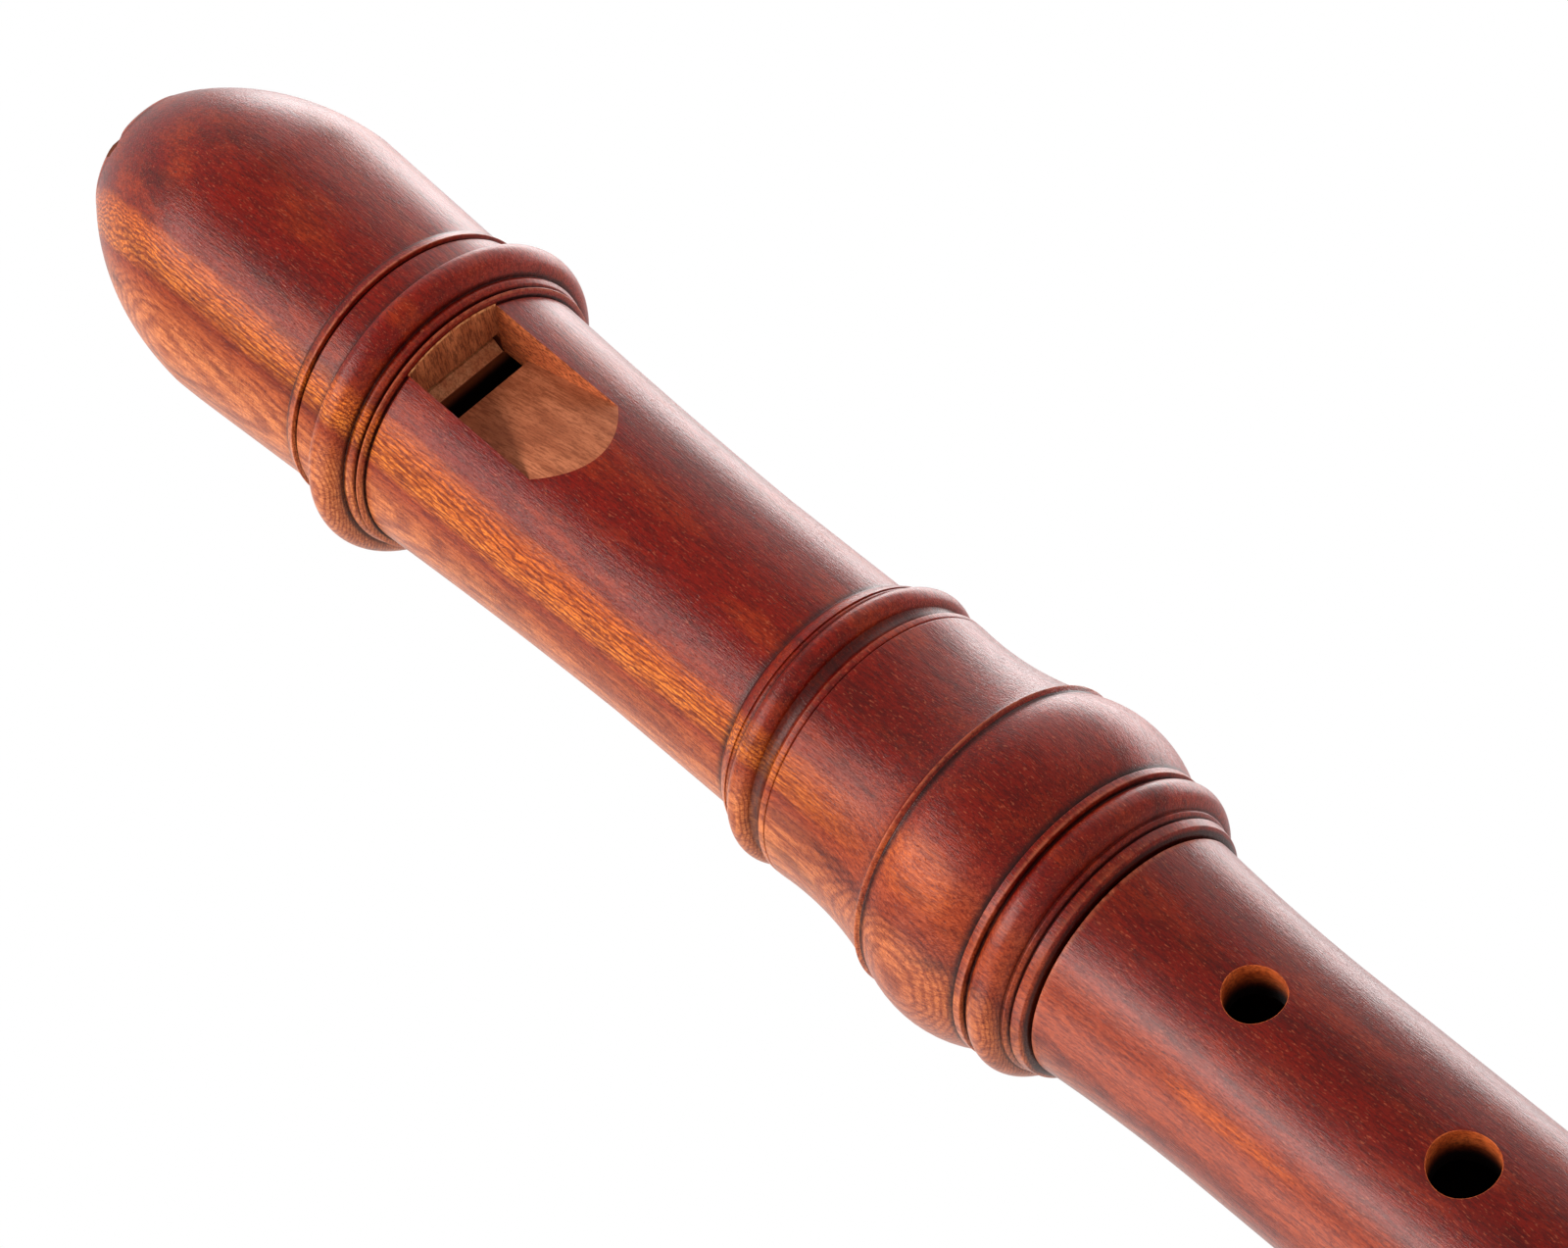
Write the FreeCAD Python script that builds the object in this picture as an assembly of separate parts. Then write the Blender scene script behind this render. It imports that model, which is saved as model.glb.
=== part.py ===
import FreeCAD, Part
import math
import os

# A soprano recorder in stained pear wood, in millimetres.
# It stands upright on its foot: +Z runs up the bore to the beak, the origin is the centre
# of the foot's end face, and the window and the finger holes face -Y.

# Stretches of the head joint, from the tip of the beak down to the end of its socket
beak_length = 34.1
crown_length = 7.9
neck_length = 41.9
collar_length = 6.5
flare_length = 11.8
bulb_length = 10.9
lip_length = 4.9

# Lengths of the other two joints that show when the recorder is together
middle_length = 121.0
foot_length = 86.0

# Outside radii of the head joint
tip_edge_radius = 6.5
tip_ease_radius = 7.4
tip_corner_radius = 9.25
beak_radius = 13.25
beak_end_radius = 12.5
beak_lip_radius = 12.85
crown_band_radius = 12.6
crown_rim_radius = 14.2
crown_foot_radius = 12.85
neck_top_radius = 11.85
neck_waist_radius = 10.8
collar_ramp_radius = 11.9
collar_ring_radius = 12.05
collar_rim_radius = 12.3
collar_bead_radius = 12.75
flare_top_radius = 12.32
flare_end_radius = 13.45
bulb_end_radius = 12.95
bulb_radius = 14.5
lip_ring_radius = 13.15
lip_bead_radius = 13.4
lip_edge_radius = 10.95

# Outside radii of the middle joint
middle_top_radius = 10.8
middle_waist_radius = 10.05
middle_end_radius = 9.95

# Outside radii of the foot joint
foot_lip_radius = 11.1
foot_bead_radius = 12.9
foot_bulb_end_radius = 12.7
foot_bulb_radius = 13.9
foot_stem_radius = 10.35
foot_ring_radius = 11.7
foot_rim_radius = 13.0
foot_end_radius = 11.6

# Small turned work, shared by all joints
fine_bead = 0.8
fine_groove = 0.7
groove_depth = 0.4
fine_rise = 0.16
narrow_groove = 0.35

# Places and depths of the head joint's curves
tip_dome = 0.45
tip_ease_drop = 1.3
tip_ease_rise = 0.1
tip_corner_drop = 4.0
tip_corner_rise = 0.05
beak_shoulder_drop = 17.5
beak_shoulder_rise = 0.9
beak_roll = 1.2
crown_cove = 1.2
crown_cove_hollow = 0.25
crown_bead = 2.65
crown_bead_rise = 0.83
neck_waist_drop = 28.0
neck_hollow = 0.15
collar_ramp = 1.45
collar_ramp_rise = 0.12
collar_ring = 0.6
collar_bead = 2.1
collar_cove_hollow = 0.35
collar_band = 0.55
flare_hollow = 0.55
lip_ring = 0.7
lip_fine_ring = 0.45
lip_flat = 0.8
lip_band = 0.75
lip_chamfer = 0.3

# Middle joint's curves
middle_waist_drop = 15.0
middle_hollow = 0.16

# Foot joint's curves, from its top down
foot_lip_length = 5.2
foot_bulb_length = 10.2
foot_flare_length = 14.0
foot_flare_hollow = 1.0
foot_bell_length = 17.5
foot_ring = 2.6
foot_bell_hollow = 0.55
foot_rim = 4.2
foot_rim_rise = 0.95
foot_edge_round = 0.35

# Bore and sockets
head_bore_radius = 6.6
middle_bore_top_radius = 6.45
middle_bore_end_radius = 5.0
foot_bore_radius = 4.9
upper_socket_radius = 9.2
upper_socket_depth = 22.5
lower_socket_radius = 8.3
lower_socket_depth = 13.5
socket_lead = 0.4

# Tenons and their corks
tenon_clearance = 0.2
tenon_end_gap = 0.5
seam_gap = 0.25
tenon_chamfer = 0.5
cork_groove_depth = 0.9
cork_running_clearance = 0.05
cork_end_gap = 0.1
cork_crown = 0.25
upper_cork_offset = 2.6
upper_cork_length = 16.5
lower_cork_offset = 2.2
lower_cork_length = 8.6

# Windway, from the tip of the beak to the window
windway_mouth_half_width = 4.7
windway_exit_half_width = 4.2
windway_mouth_roof = 6.8
windway_exit_roof = 7.1
windway_mouth_height = 1.3
windway_exit_height = 1.05
windway_chamfer = 0.5

# Window, labium and ramp
window_surface_half_width = 4.8
window_edge_half_width = 4.3
window_height = 3.4
labium_edge_height = 6.7
ramp_length = 17.0
ramp_end_half_width = 4.9
undercut_length = 8.0
undercut_depth = 1.7

# Block
block_clearance = 0.05
block_tongue_clearance = 0.08
block_chamfer = 0.9

# Underside of the beak
beak_heel_length = 4.9
beak_cut_hollow = 4.3
beak_tip_thickness = 10.6
beak_edge_round = 0.9

# Finger holes of the middle joint, thumb hole and the pairs of small holes
hole_one_drop = 14.0
hole_six_rise = 6.2
hole_one_diameter = 4.9
hole_two_diameter = 5.5
hole_three_diameter = 5.8
hole_four_diameter = 5.7
hole_five_diameter = 6.0
pair_large_diameter = 3.4
pair_small_diameter = 2.7
pair_spacing = 4.3
thumb_hole_rise = 7.4
thumb_hole_diameter = 5.4
hole_seven_drop = 19.0
saddle_radius = 9.0
saddle_depth = 0.45
hole_edge_bevel = 0.3
# Places of the six holes, from hole one to hole six
hole_place_shares = (0.0, 0.207, 0.413, 0.61, 0.811, 1.0)

# One overrun serves all cuts
overrun = 2.0
# How edges are picked out for rounding: points along each, and how near they must lie
edge_samples = 7
match_tolerance = 0.01

# Heights that follow from the lengths
head_end = foot_length + middle_length
bulb_end = head_end + lip_length
flare_end = bulb_end + bulb_length
flare_top = flare_end + flare_length
collar_top = flare_top + collar_length
neck_top = collar_top + neck_length
crown_top = neck_top + crown_length
tip = crown_top + beak_length

# The cut under the beak ends short of its roll
beak_cut_length = beak_length - beak_heel_length

# Radii of the tenons that follow from the sockets
upper_tenon_radius = upper_socket_radius - tenon_clearance
lower_tenon_radius = lower_socket_radius - tenon_clearance
upper_tenon_top = head_end + upper_socket_depth - tenon_end_gap
lower_tenon_end = foot_length - lower_socket_depth + tenon_end_gap

# Heights on the foot joint
bulb_top = foot_length - foot_lip_length
bulb_low = bulb_top - foot_bulb_length
stem_top = bulb_low - foot_flare_length


class Turning:
    """Half outline of a turned piece, drawn as radius and height.

    The outside is drawn downwards and the bore upwards, so that a positive rise always
    stands proud of the wood and a negative one is a hollow.
    """

    def __init__(self, radius, height):
        self.start = FreeCAD.Vector(radius, 0, height)
        self.here = self.start
        self.edges = []

    def line(self, radius, height):
        """Straight stretch to the point."""
        there = FreeCAD.Vector(radius, 0, height)
        self.edges.append(Part.makeLine(self.here, there))
        self.here = there
        return self

    def bow(self, radius, height, rise):
        """Arc to the point, whose middle stands proud of the chord by the rise."""
        there = FreeCAD.Vector(radius, 0, height)
        chord = there - self.here
        outward = FreeCAD.Vector(-chord.z, 0, chord.x).normalize()
        crest = (self.here + there) / 2 + outward * rise
        self.edges.append(Part.Arc(self.here, crest, there).toShape())
        self.here = there
        return self

    def ridge(self, radius, height, rise):
        """Sharp ridge to the point, two flats that meet the rise above the chord."""
        crest = (self.here + FreeCAD.Vector(radius, 0, height)) / 2
        return self.line(crest.x + rise, crest.z).line(radius, height)

    def groove(self, radius, height, depth):
        """Groove to the point, two flats that meet the depth below the chord."""
        return self.ridge(radius, height, -depth)

    def solid(self):
        """Close the outline and turn it about the bore."""
        self.line(self.start.x, self.start.z)
        face = Part.Face(Part.Wire(self.edges))
        turned = face.revolve(FreeCAD.Vector(0, 0, 0), FreeCAD.Vector(0, 0, 1), 360)
        if turned.Volume < 0:
            turned.reverse()
        return turned


def prism(points, half_width):
    """Prism across the recorder: points are (front height, z), its width runs along X."""
    corners = [FreeCAD.Vector(-half_width, -front, z) for front, z in points]
    face = Part.Face(Part.makePolygon(corners + corners[:1]))
    return face.extrude(FreeCAD.Vector(2 * half_width, 0, 0))


def slot_section(z, half_width, low, high, high_half_width=None):
    """Wire of a slot's section at one height: it faces the front, wider at the top if asked."""
    top = half_width if high_half_width is None else high_half_width
    corners = [
        FreeCAD.Vector(-half_width, -low, z),
        FreeCAD.Vector(half_width, -low, z),
        FreeCAD.Vector(top, -high, z),
        FreeCAD.Vector(-top, -high, z),
    ]
    return Part.makePolygon(corners + corners[:1])


def between(low, high, share):
    """Value that lies a share of the way from low to high."""
    return low + (high - low) * share


def head_outside():
    """Outside of the head joint, as a solid without its bore."""
    turning = Turning(0, tip)
    turning.bow(tip_edge_radius, tip - tip_dome, tip_dome / 4)
    turning.bow(tip_ease_radius, tip - tip_ease_drop, tip_ease_rise)
    turning.bow(tip_corner_radius, tip - tip_corner_drop, tip_corner_rise)
    turning.bow(beak_radius, tip - beak_shoulder_drop, beak_shoulder_rise)

    # The beak ends in a soft roll and a groove, and a flat band leads to the bead's sharp rim
    bead_end = neck_top + 2 * fine_bead
    rim = bead_end + crown_bead
    turning.line(beak_end_radius, crown_top + beak_roll)
    turning.line(beak_lip_radius, crown_top + narrow_groove / 2)
    turning.groove(crown_band_radius, crown_top - narrow_groove / 2, groove_depth)
    turning.line(crown_band_radius, rim + crown_cove)
    turning.bow(crown_rim_radius, rim, -crown_cove_hollow)
    turning.bow(crown_foot_radius, bead_end, crown_bead_rise)

    # Two fine beads step down to the neck, each with a groove under it
    second_top = neck_top + fine_bead - narrow_groove
    turning.line(crown_foot_radius - fine_rise, bead_end)
    turning.ridge(crown_foot_radius - fine_rise * 2, neck_top + fine_bead, fine_rise)
    turning.groove(crown_foot_radius - fine_rise * 3, second_top, groove_depth)
    turning.ridge(neck_top_radius + fine_rise, neck_top, fine_rise * 2)
    turning.line(neck_top_radius - fine_rise, neck_top)
    turning.line(neck_top_radius, neck_top - narrow_groove / 2)

    # Neck with its slight waist
    turning.bow(neck_waist_radius, neck_top - neck_waist_drop, -neck_hollow)
    turning.line(neck_waist_radius + fine_rise / 2, collar_top)

    # Collar: a rounded ramp, a fine ring, a bead, a cove and a flat band
    ring_top = collar_top - collar_ramp
    ring_end = ring_top - collar_ring
    bead_top = ring_end - narrow_groove / 2
    band_end = flare_top + narrow_groove / 2
    band_top = band_end + collar_band
    collar_chord = (collar_rim_radius + collar_ramp_radius) / 2
    turning.bow(collar_ramp_radius, ring_top, collar_ramp_rise)
    turning.line(collar_ramp_radius - fine_rise, ring_top)
    turning.ridge(collar_ring_radius - fine_rise, ring_end, fine_rise)
    turning.line(collar_rim_radius, bead_top)
    turning.bow(collar_ramp_radius, bead_top - collar_bead, collar_bead_radius - collar_chord)
    turning.bow(flare_top_radius - fine_rise, band_top, -collar_cove_hollow)
    turning.line(flare_top_radius, band_top)
    turning.line(flare_top_radius, band_end)
    turning.groove(flare_top_radius, flare_top, fine_rise)

    # Hollow flare, a fine raised bead and the bulb over the socket
    turning.bow(flare_end_radius, flare_end + fine_bead / 2, -flare_hollow)
    turning.ridge(flare_end_radius + fine_rise, flare_end - fine_bead / 2, fine_bead / 2)
    ring_top = bulb_end + narrow_groove / 2 + lip_ring
    bulb_chord = (flare_end_radius + fine_rise + bulb_end_radius) / 2
    turning.bow(bulb_end_radius, ring_top, bulb_radius - bulb_chord)

    # Flat ring, groove, bead, fine ring, groove and the flat band at the socket's lip
    flat_top = head_end + lip_chamfer + lip_flat
    ring_end = flat_top + narrow_groove
    band_radius = lip_edge_radius + lip_band
    lip_chord = (lip_ring_radius + band_radius) / 2
    turning.line(lip_ring_radius, ring_top)
    turning.line(lip_ring_radius, bulb_end + narrow_groove / 2)
    turning.groove(lip_ring_radius - groove_depth, bulb_end - narrow_groove / 2, groove_depth)
    turning.bow(band_radius + fine_rise, ring_end + lip_fine_ring, lip_bead_radius - lip_chord)
    turning.ridge(band_radius, ring_end, fine_rise)
    turning.groove(band_radius, flat_top, fine_rise * 2)
    turning.line(band_radius - fine_rise, head_end + lip_chamfer)
    turning.line(lip_edge_radius, head_end)
    turning.line(0, head_end)
    return turning.solid()


def head_bore():
    """Air column and socket of the head joint, as a solid to cut away."""
    socket_top = head_end + upper_socket_depth
    turning = Turning(0, tip + overrun)
    turning.line(head_bore_radius, tip + overrun)
    turning.line(head_bore_radius, socket_top)
    turning.line(upper_socket_radius, socket_top)
    turning.line(upper_socket_radius, head_end + socket_lead)
    turning.line(upper_socket_radius + socket_lead, head_end)
    turning.line(upper_socket_radius + socket_lead, head_end - overrun)
    turning.line(0, head_end - overrun)
    return turning.solid()


def windway():
    """Slot that carries the breath from the tip of the beak to the window."""
    # The slot starts inside the bore, so that the block's tongue fits between its walls
    low = head_bore_radius / 2
    reach = (tip + overrun - neck_top) / (tip - neck_top)
    end_half_width = between(windway_exit_half_width, windway_mouth_half_width, reach)
    end_roof = between(windway_exit_roof, windway_mouth_roof, reach)
    mouth = slot_section(tip + overrun, end_half_width, low, end_roof)
    exit_wire = slot_section(neck_top, windway_exit_half_width, low, windway_exit_roof)
    slot = Part.makeLoft([exit_wire, mouth], True, True)

    # Chamfer of the roof where the breath leaves it
    chamfer = prism(
        [
            (windway_exit_roof - overrun, neck_top - overrun),
            (windway_exit_roof + windway_chamfer, neck_top - overrun),
            (windway_exit_roof + windway_chamfer, neck_top),
            (windway_exit_roof, neck_top + windway_chamfer),
            (windway_exit_roof - overrun, neck_top + windway_chamfer),
        ],
        windway_exit_half_width,
    )
    return slot.fuse(chamfer)


def window():
    """Window above the labium, with flared side walls, and the ramp that rises from the labium."""
    surface = bulb_radius + overrun
    edge_z = neck_top - window_height
    ramp_end = neck_top - ramp_length
    ramp_rise = neck_waist_radius - labium_edge_height
    past = overrun / (edge_z - ramp_end)
    low = head_bore_radius / 2

    # Well from the neck's surface down into the bore
    flare = (window_surface_half_width - window_edge_half_width) / (neck_top_radius - labium_edge_height)
    top_half_width = window_edge_half_width + flare * (surface - labium_edge_height)
    low_half_width = window_edge_half_width
    upper = slot_section(neck_top, low_half_width, labium_edge_height, surface, top_half_width)
    lower = slot_section(edge_z, low_half_width, labium_edge_height, surface, top_half_width)
    well = Part.makeLoft([lower, upper], True, True)
    shaft = prism([(low, edge_z), (surface, edge_z), (surface, neck_top), (low, neck_top)], low_half_width)

    # Wedge over the ramp, which leaves the surface at the ramp's end
    end_height = neck_waist_radius + ramp_rise * past
    end_half_width = ramp_end_half_width + flare * (surface - end_height)
    start = slot_section(edge_z, window_edge_half_width, labium_edge_height, surface, top_half_width)
    end = slot_section(ramp_end - overrun, ramp_end_half_width, end_height, surface, end_half_width)
    wedge = Part.makeLoft([end, start], True, True)

    # Undercut that makes the labium's edge straight and sharp
    undercut = prism(
        [
            (low, edge_z + overrun),
            (labium_edge_height, edge_z + overrun),
            (labium_edge_height, edge_z),
            (labium_edge_height - undercut_depth, edge_z - undercut_length),
            (low, edge_z - undercut_length),
        ],
        window_edge_half_width,
    )
    return well.fuse([shaft, wedge, undercut])


def beak_cut_round():
    """Middle and radius of the round cutter that hollows the underside of the beak."""
    near = FreeCAD.Vector(0, beak_tip_thickness - tip_corner_radius, tip)
    far = FreeCAD.Vector(0, beak_radius, tip - beak_cut_length)
    chord = far - near
    outward = FreeCAD.Vector(0, -chord.z, chord.y).normalize()
    radius = (chord.Length / 2) ** 2 / beak_cut_hollow / 2 + beak_cut_hollow / 2
    return (near + far) / 2 + outward * (radius - beak_cut_hollow), radius


def beak_cut():
    """Round cut under the beak, where the lower lip rests."""
    centre, radius = beak_cut_round()
    half_width = beak_radius + overrun
    start = centre - FreeCAD.Vector(half_width, 0, 0)
    return Part.makeCylinder(radius, 2 * half_width, start, FreeCAD.Vector(1, 0, 0))


def soften_beak(shape):
    """Round the outer edges of the cut under the beak, for the lip's comfort."""
    centre, radius = beak_cut_round()
    edges = []
    for edge in shape.Edges:
        points = edge.discretize(edge_samples)
        off_cut = [abs(math.hypot(p.y - centre.y, p.z - centre.z) - radius) for p in points]
        from_bore = [math.hypot(p.x, p.y) - head_bore_radius for p in points]
        if max(off_cut) < match_tolerance and max(from_bore) > match_tolerance:
            edges.append(edge)
    return shape.makeFillet(beak_edge_round, edges)


def head_joint():
    """Head joint: beak, windway, window, neck and the socket for the upper tenon."""
    shape = head_outside().cut(head_bore())
    shape = shape.cut(windway())
    shape = shape.cut(window())
    return soften_beak(shape.cut(beak_cut()))


def block():
    """Cedar block that fills the beak and is the floor of the windway."""
    radius = head_bore_radius - block_clearance
    mouth_floor = windway_mouth_roof - windway_mouth_height
    exit_floor = windway_exit_roof - windway_exit_height
    length = tip + overrun - neck_top
    plug = Part.makeCylinder(radius, length, FreeCAD.Vector(0, 0, neck_top))

    # The tongue stands up between the windway's side walls
    reach = length / (tip - neck_top)
    end_half_width = between(windway_exit_half_width, windway_mouth_half_width, reach)
    end_floor = between(exit_floor, mouth_floor, reach)
    tongue = Part.makeLoft(
        [
            slot_section(neck_top, windway_exit_half_width - block_tongue_clearance, 0, exit_floor),
            slot_section(tip + overrun, end_half_width - block_tongue_clearance, 0, end_floor),
        ],
        True,
        True,
    )
    # Above the floor the breath runs free
    above = Part.makeLoft(
        [
            slot_section(neck_top, head_bore_radius, exit_floor, bulb_radius),
            slot_section(tip + overrun, head_bore_radius, end_floor, bulb_radius),
        ],
        True,
        True,
    )
    chamfer = prism(
        [
            (exit_floor + overrun, neck_top - overrun),
            (exit_floor - block_chamfer - overrun, neck_top - overrun),
            (exit_floor - block_chamfer, neck_top),
            (exit_floor, neck_top + block_chamfer),
            (exit_floor + overrun, neck_top + block_chamfer),
        ],
        head_bore_radius,
    )
    shape = plug.fuse(tongue).cut(above).cut(chamfer)
    return shape.common(head_outside()).cut(beak_cut())


def drill(height, diameter, across=0, facing=-1):
    """Straight hole from the bore out through one wall."""
    reach = bulb_radius + overrun
    start = FreeCAD.Vector(across, 0, height)
    return Part.makeCylinder(diameter / 2, reach, start, FreeCAD.Vector(0, facing, 0))


def hole_pair(height, outer_radius):
    """Two small holes side by side, in a shallow saddle."""
    left = -pair_spacing / 2
    right = pair_spacing / 2
    large = drill(height, pair_large_diameter, left)
    small = drill(height, pair_small_diameter, right)
    saddle_start = FreeCAD.Vector(-outer_radius, -(outer_radius - saddle_depth + saddle_radius), height)
    saddle = Part.makeCylinder(saddle_radius, 2 * outer_radius, saddle_start, FreeCAD.Vector(1, 0, 0))
    return large.fuse([small, saddle])


def soften_holes(shape, heights, inner_limit):
    """Bevel the outer edges of the holes at these heights, for the fingertips."""
    edges = []
    for edge in shape.Edges:
        middle = edge.BoundBox.Center
        near = any(abs(middle.z - height) < hole_five_diameter / 4 for height in heights)
        small = edge.BoundBox.DiagonalLength < 2 * hole_five_diameter
        ends = [math.hypot(vertex.X, vertex.Y) for vertex in edge.Vertexes]
        if near and small and min(ends) > inner_limit and edge.BoundBox.YLength < inner_limit / 2:
            edges.append(edge)
    return shape.makeChamfer(hole_edge_bevel, edges)


def middle_joint():
    """Middle joint: two tenons with grooves for their corks, tapered bore and six finger holes."""
    top = head_end - seam_gap
    end = foot_length + seam_gap
    groove_top = upper_tenon_top - upper_cork_offset
    groove_end = groove_top - upper_cork_length
    lower_groove_top = lower_tenon_end + lower_cork_offset + lower_cork_length
    lower_groove_end = lower_tenon_end + lower_cork_offset

    turning = Turning(middle_bore_top_radius, upper_tenon_top)
    turning.line(upper_tenon_radius - tenon_chamfer, upper_tenon_top)
    turning.line(upper_tenon_radius, upper_tenon_top - tenon_chamfer)
    turning.line(upper_tenon_radius, groove_top)
    turning.line(upper_tenon_radius - cork_groove_depth, groove_top)
    turning.line(upper_tenon_radius - cork_groove_depth, groove_end)
    turning.line(upper_tenon_radius, groove_end)
    turning.line(upper_tenon_radius, top)
    turning.line(middle_top_radius, top)
    turning.bow(middle_waist_radius, top - middle_waist_drop, -middle_hollow)
    turning.line(middle_end_radius, end)
    turning.line(lower_tenon_radius, end)
    turning.line(lower_tenon_radius, lower_groove_top)
    turning.line(lower_tenon_radius - cork_groove_depth, lower_groove_top)
    turning.line(lower_tenon_radius - cork_groove_depth, lower_groove_end)
    turning.line(lower_tenon_radius, lower_groove_end)
    turning.line(lower_tenon_radius, lower_tenon_end + tenon_chamfer)
    turning.line(lower_tenon_radius - tenon_chamfer, lower_tenon_end)
    turning.line(middle_bore_end_radius, lower_tenon_end)
    shape = turning.solid()

    hole_one = head_end - hole_one_drop
    hole_six = foot_length + hole_six_rise
    heights = [between(hole_one, hole_six, share) for share in hole_place_shares]
    diameters = (
        hole_one_diameter,
        hole_two_diameter,
        hole_three_diameter,
        hole_four_diameter,
        hole_five_diameter,
    )
    for height, diameter in zip(heights, diameters):
        shape = shape.cut(drill(height, diameter))
    shape = shape.cut(hole_pair(heights[-1], middle_waist_radius))
    thumb = hole_one + thumb_hole_rise
    shape = shape.cut(drill(thumb, thumb_hole_diameter, facing=1))
    return soften_holes(shape, heights[:-1] + [thumb], middle_bore_top_radius + cork_groove_depth)


def cork(tenon_radius, socket_radius, top, length):
    """Cork sleeve that fills a tenon's groove and runs in the socket."""
    inner = tenon_radius - cork_groove_depth + cork_running_clearance
    outer = socket_radius - cork_running_clearance
    high = top - cork_end_gap
    low = top - length + cork_end_gap
    turning = Turning(inner, high)
    turning.line(outer - cork_crown, high)
    turning.line(outer, high - cork_crown)
    turning.line(outer, low + cork_crown)
    turning.line(outer - cork_crown, low)
    turning.line(inner, low)
    return turning.solid()


def upper_tenon_cork():
    """Cork of the tenon that carries the head joint."""
    top = upper_tenon_top - upper_cork_offset
    return cork(upper_tenon_radius, upper_socket_radius, top, upper_cork_length)


def lower_tenon_cork():
    """Cork of the tenon that carries the foot joint."""
    top = lower_tenon_end + lower_cork_offset + lower_cork_length
    return cork(lower_tenon_radius, lower_socket_radius, top, lower_cork_length)


def foot_outside():
    """Outside of the foot joint, as a solid without its bore."""
    top = foot_length
    bell_top = foot_bell_length

    # Flat band, fine ring, bead, groove and flat ring, as on the head joint turned over
    band_radius = foot_lip_radius + lip_band
    flat_end = top - lip_chamfer - lip_flat
    ring_top = flat_end - narrow_groove
    bead_end = bulb_top + narrow_groove / 2
    bead_chord = (band_radius + foot_bulb_end_radius) / 2
    turning = Turning(0, top)
    turning.line(foot_lip_radius, top)
    turning.line(band_radius - fine_rise, top - lip_chamfer)
    turning.line(band_radius, flat_end)
    turning.groove(band_radius, ring_top, fine_rise * 2)
    turning.ridge(band_radius + fine_rise, ring_top - lip_fine_ring, fine_rise)
    turning.bow(foot_bulb_end_radius - groove_depth, bead_end, foot_bead_radius - bead_chord)
    turning.groove(foot_bulb_end_radius + fine_rise / 2, bulb_top - narrow_groove / 2, groove_depth)
    turning.line(foot_bulb_end_radius + fine_rise / 2, bulb_top - lip_ring)
    turning.line(foot_bulb_end_radius, bulb_top - lip_ring)

    # Bulb over the socket, a fine bead and the hollow flare down to the stem
    turning.bow(foot_bulb_end_radius, bulb_low + fine_bead, foot_bulb_radius - foot_bulb_end_radius)
    turning.ridge(foot_bulb_end_radius - fine_rise, bulb_low, fine_bead / 2)
    turning.bow(foot_stem_radius + fine_rise, stem_top, -foot_flare_hollow)
    turning.line(foot_stem_radius, bell_top + foot_ring / 2)

    # Ring with a flat crest, hollow bell and rounded rim at the end
    turning.line(foot_ring_radius, bell_top + foot_ring / 4)
    turning.line(foot_ring_radius, bell_top - foot_ring / 4)
    turning.line(foot_stem_radius + fine_rise, bell_top - foot_ring / 2)
    turning.bow(foot_rim_radius - foot_rim_rise, foot_rim + fine_groove, -foot_bell_hollow)
    turning.groove(foot_rim_radius - foot_rim_rise, foot_rim, fine_rise)
    turning.bow(foot_end_radius + foot_edge_round, foot_edge_round, foot_rim_rise)
    turning.line(foot_end_radius, 0)
    turning.line(0, 0)
    return turning.solid()


def foot_flare_radius(height):
    """Outside radius at a height on the foot's hollow flare, taken as a parabola."""
    share = (bulb_low - height) / foot_flare_length
    straight = between(foot_bulb_end_radius, foot_stem_radius, share)
    return straight - 4 * foot_flare_hollow * share * (1 - share)


def foot_joint():
    """Foot joint: socket for the lower tenon, bore down to its end and the last pair of holes."""
    socket_end = foot_length - lower_socket_depth
    turning = Turning(0, foot_length + overrun)
    turning.line(lower_socket_radius + socket_lead, foot_length + overrun)
    turning.line(lower_socket_radius + socket_lead, foot_length)
    turning.line(lower_socket_radius, foot_length - socket_lead)
    turning.line(lower_socket_radius, socket_end)
    turning.line(foot_bore_radius, socket_end)
    turning.line(foot_bore_radius, -overrun)
    turning.line(0, -overrun)
    shape = foot_outside().cut(turning.solid())
    hole_seven = foot_length - hole_seven_drop
    return shape.cut(hole_pair(hole_seven, foot_flare_radius(hole_seven)))


pieces = {
    "head_joint": head_joint,
    "block": block,
    "upper_tenon_cork": upper_tenon_cork,
    "middle_joint": middle_joint,
    "lower_tenon_cork": lower_tenon_cork,
    "foot_joint": foot_joint,
}

os.makedirs("parts", exist_ok=True)
for name, build in pieces.items():
    shape = build()
    box = shape.optimalBoundingBox(True, False)
    print(
        f"{name}: {len(shape.Solids)} solid, valid {shape.isValid()}, {shape.Volume / 1000:.2f} cm3, "
        f"z {box.ZMin:.2f} to {box.ZMax:.2f}, radius {box.XMax:.2f}"
    )
    shape.exportStep(f"parts/{name}.step")
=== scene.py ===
"""Dresses a soprano recorder: turned and stained pear joints, a cedar block and cork sleeves.

The recorder stands on its foot, +Z runs up to the beak, and the window faces -Y. Sizes are in
millimetres and become metres where a mesh is made.
"""

import logging
import math
from collections.abc import Callable, Iterable, Mapping, Sequence
from dataclasses import dataclass
from enum import Enum

import bmesh
import bpy
from mathutils import Matrix, Vector


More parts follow.
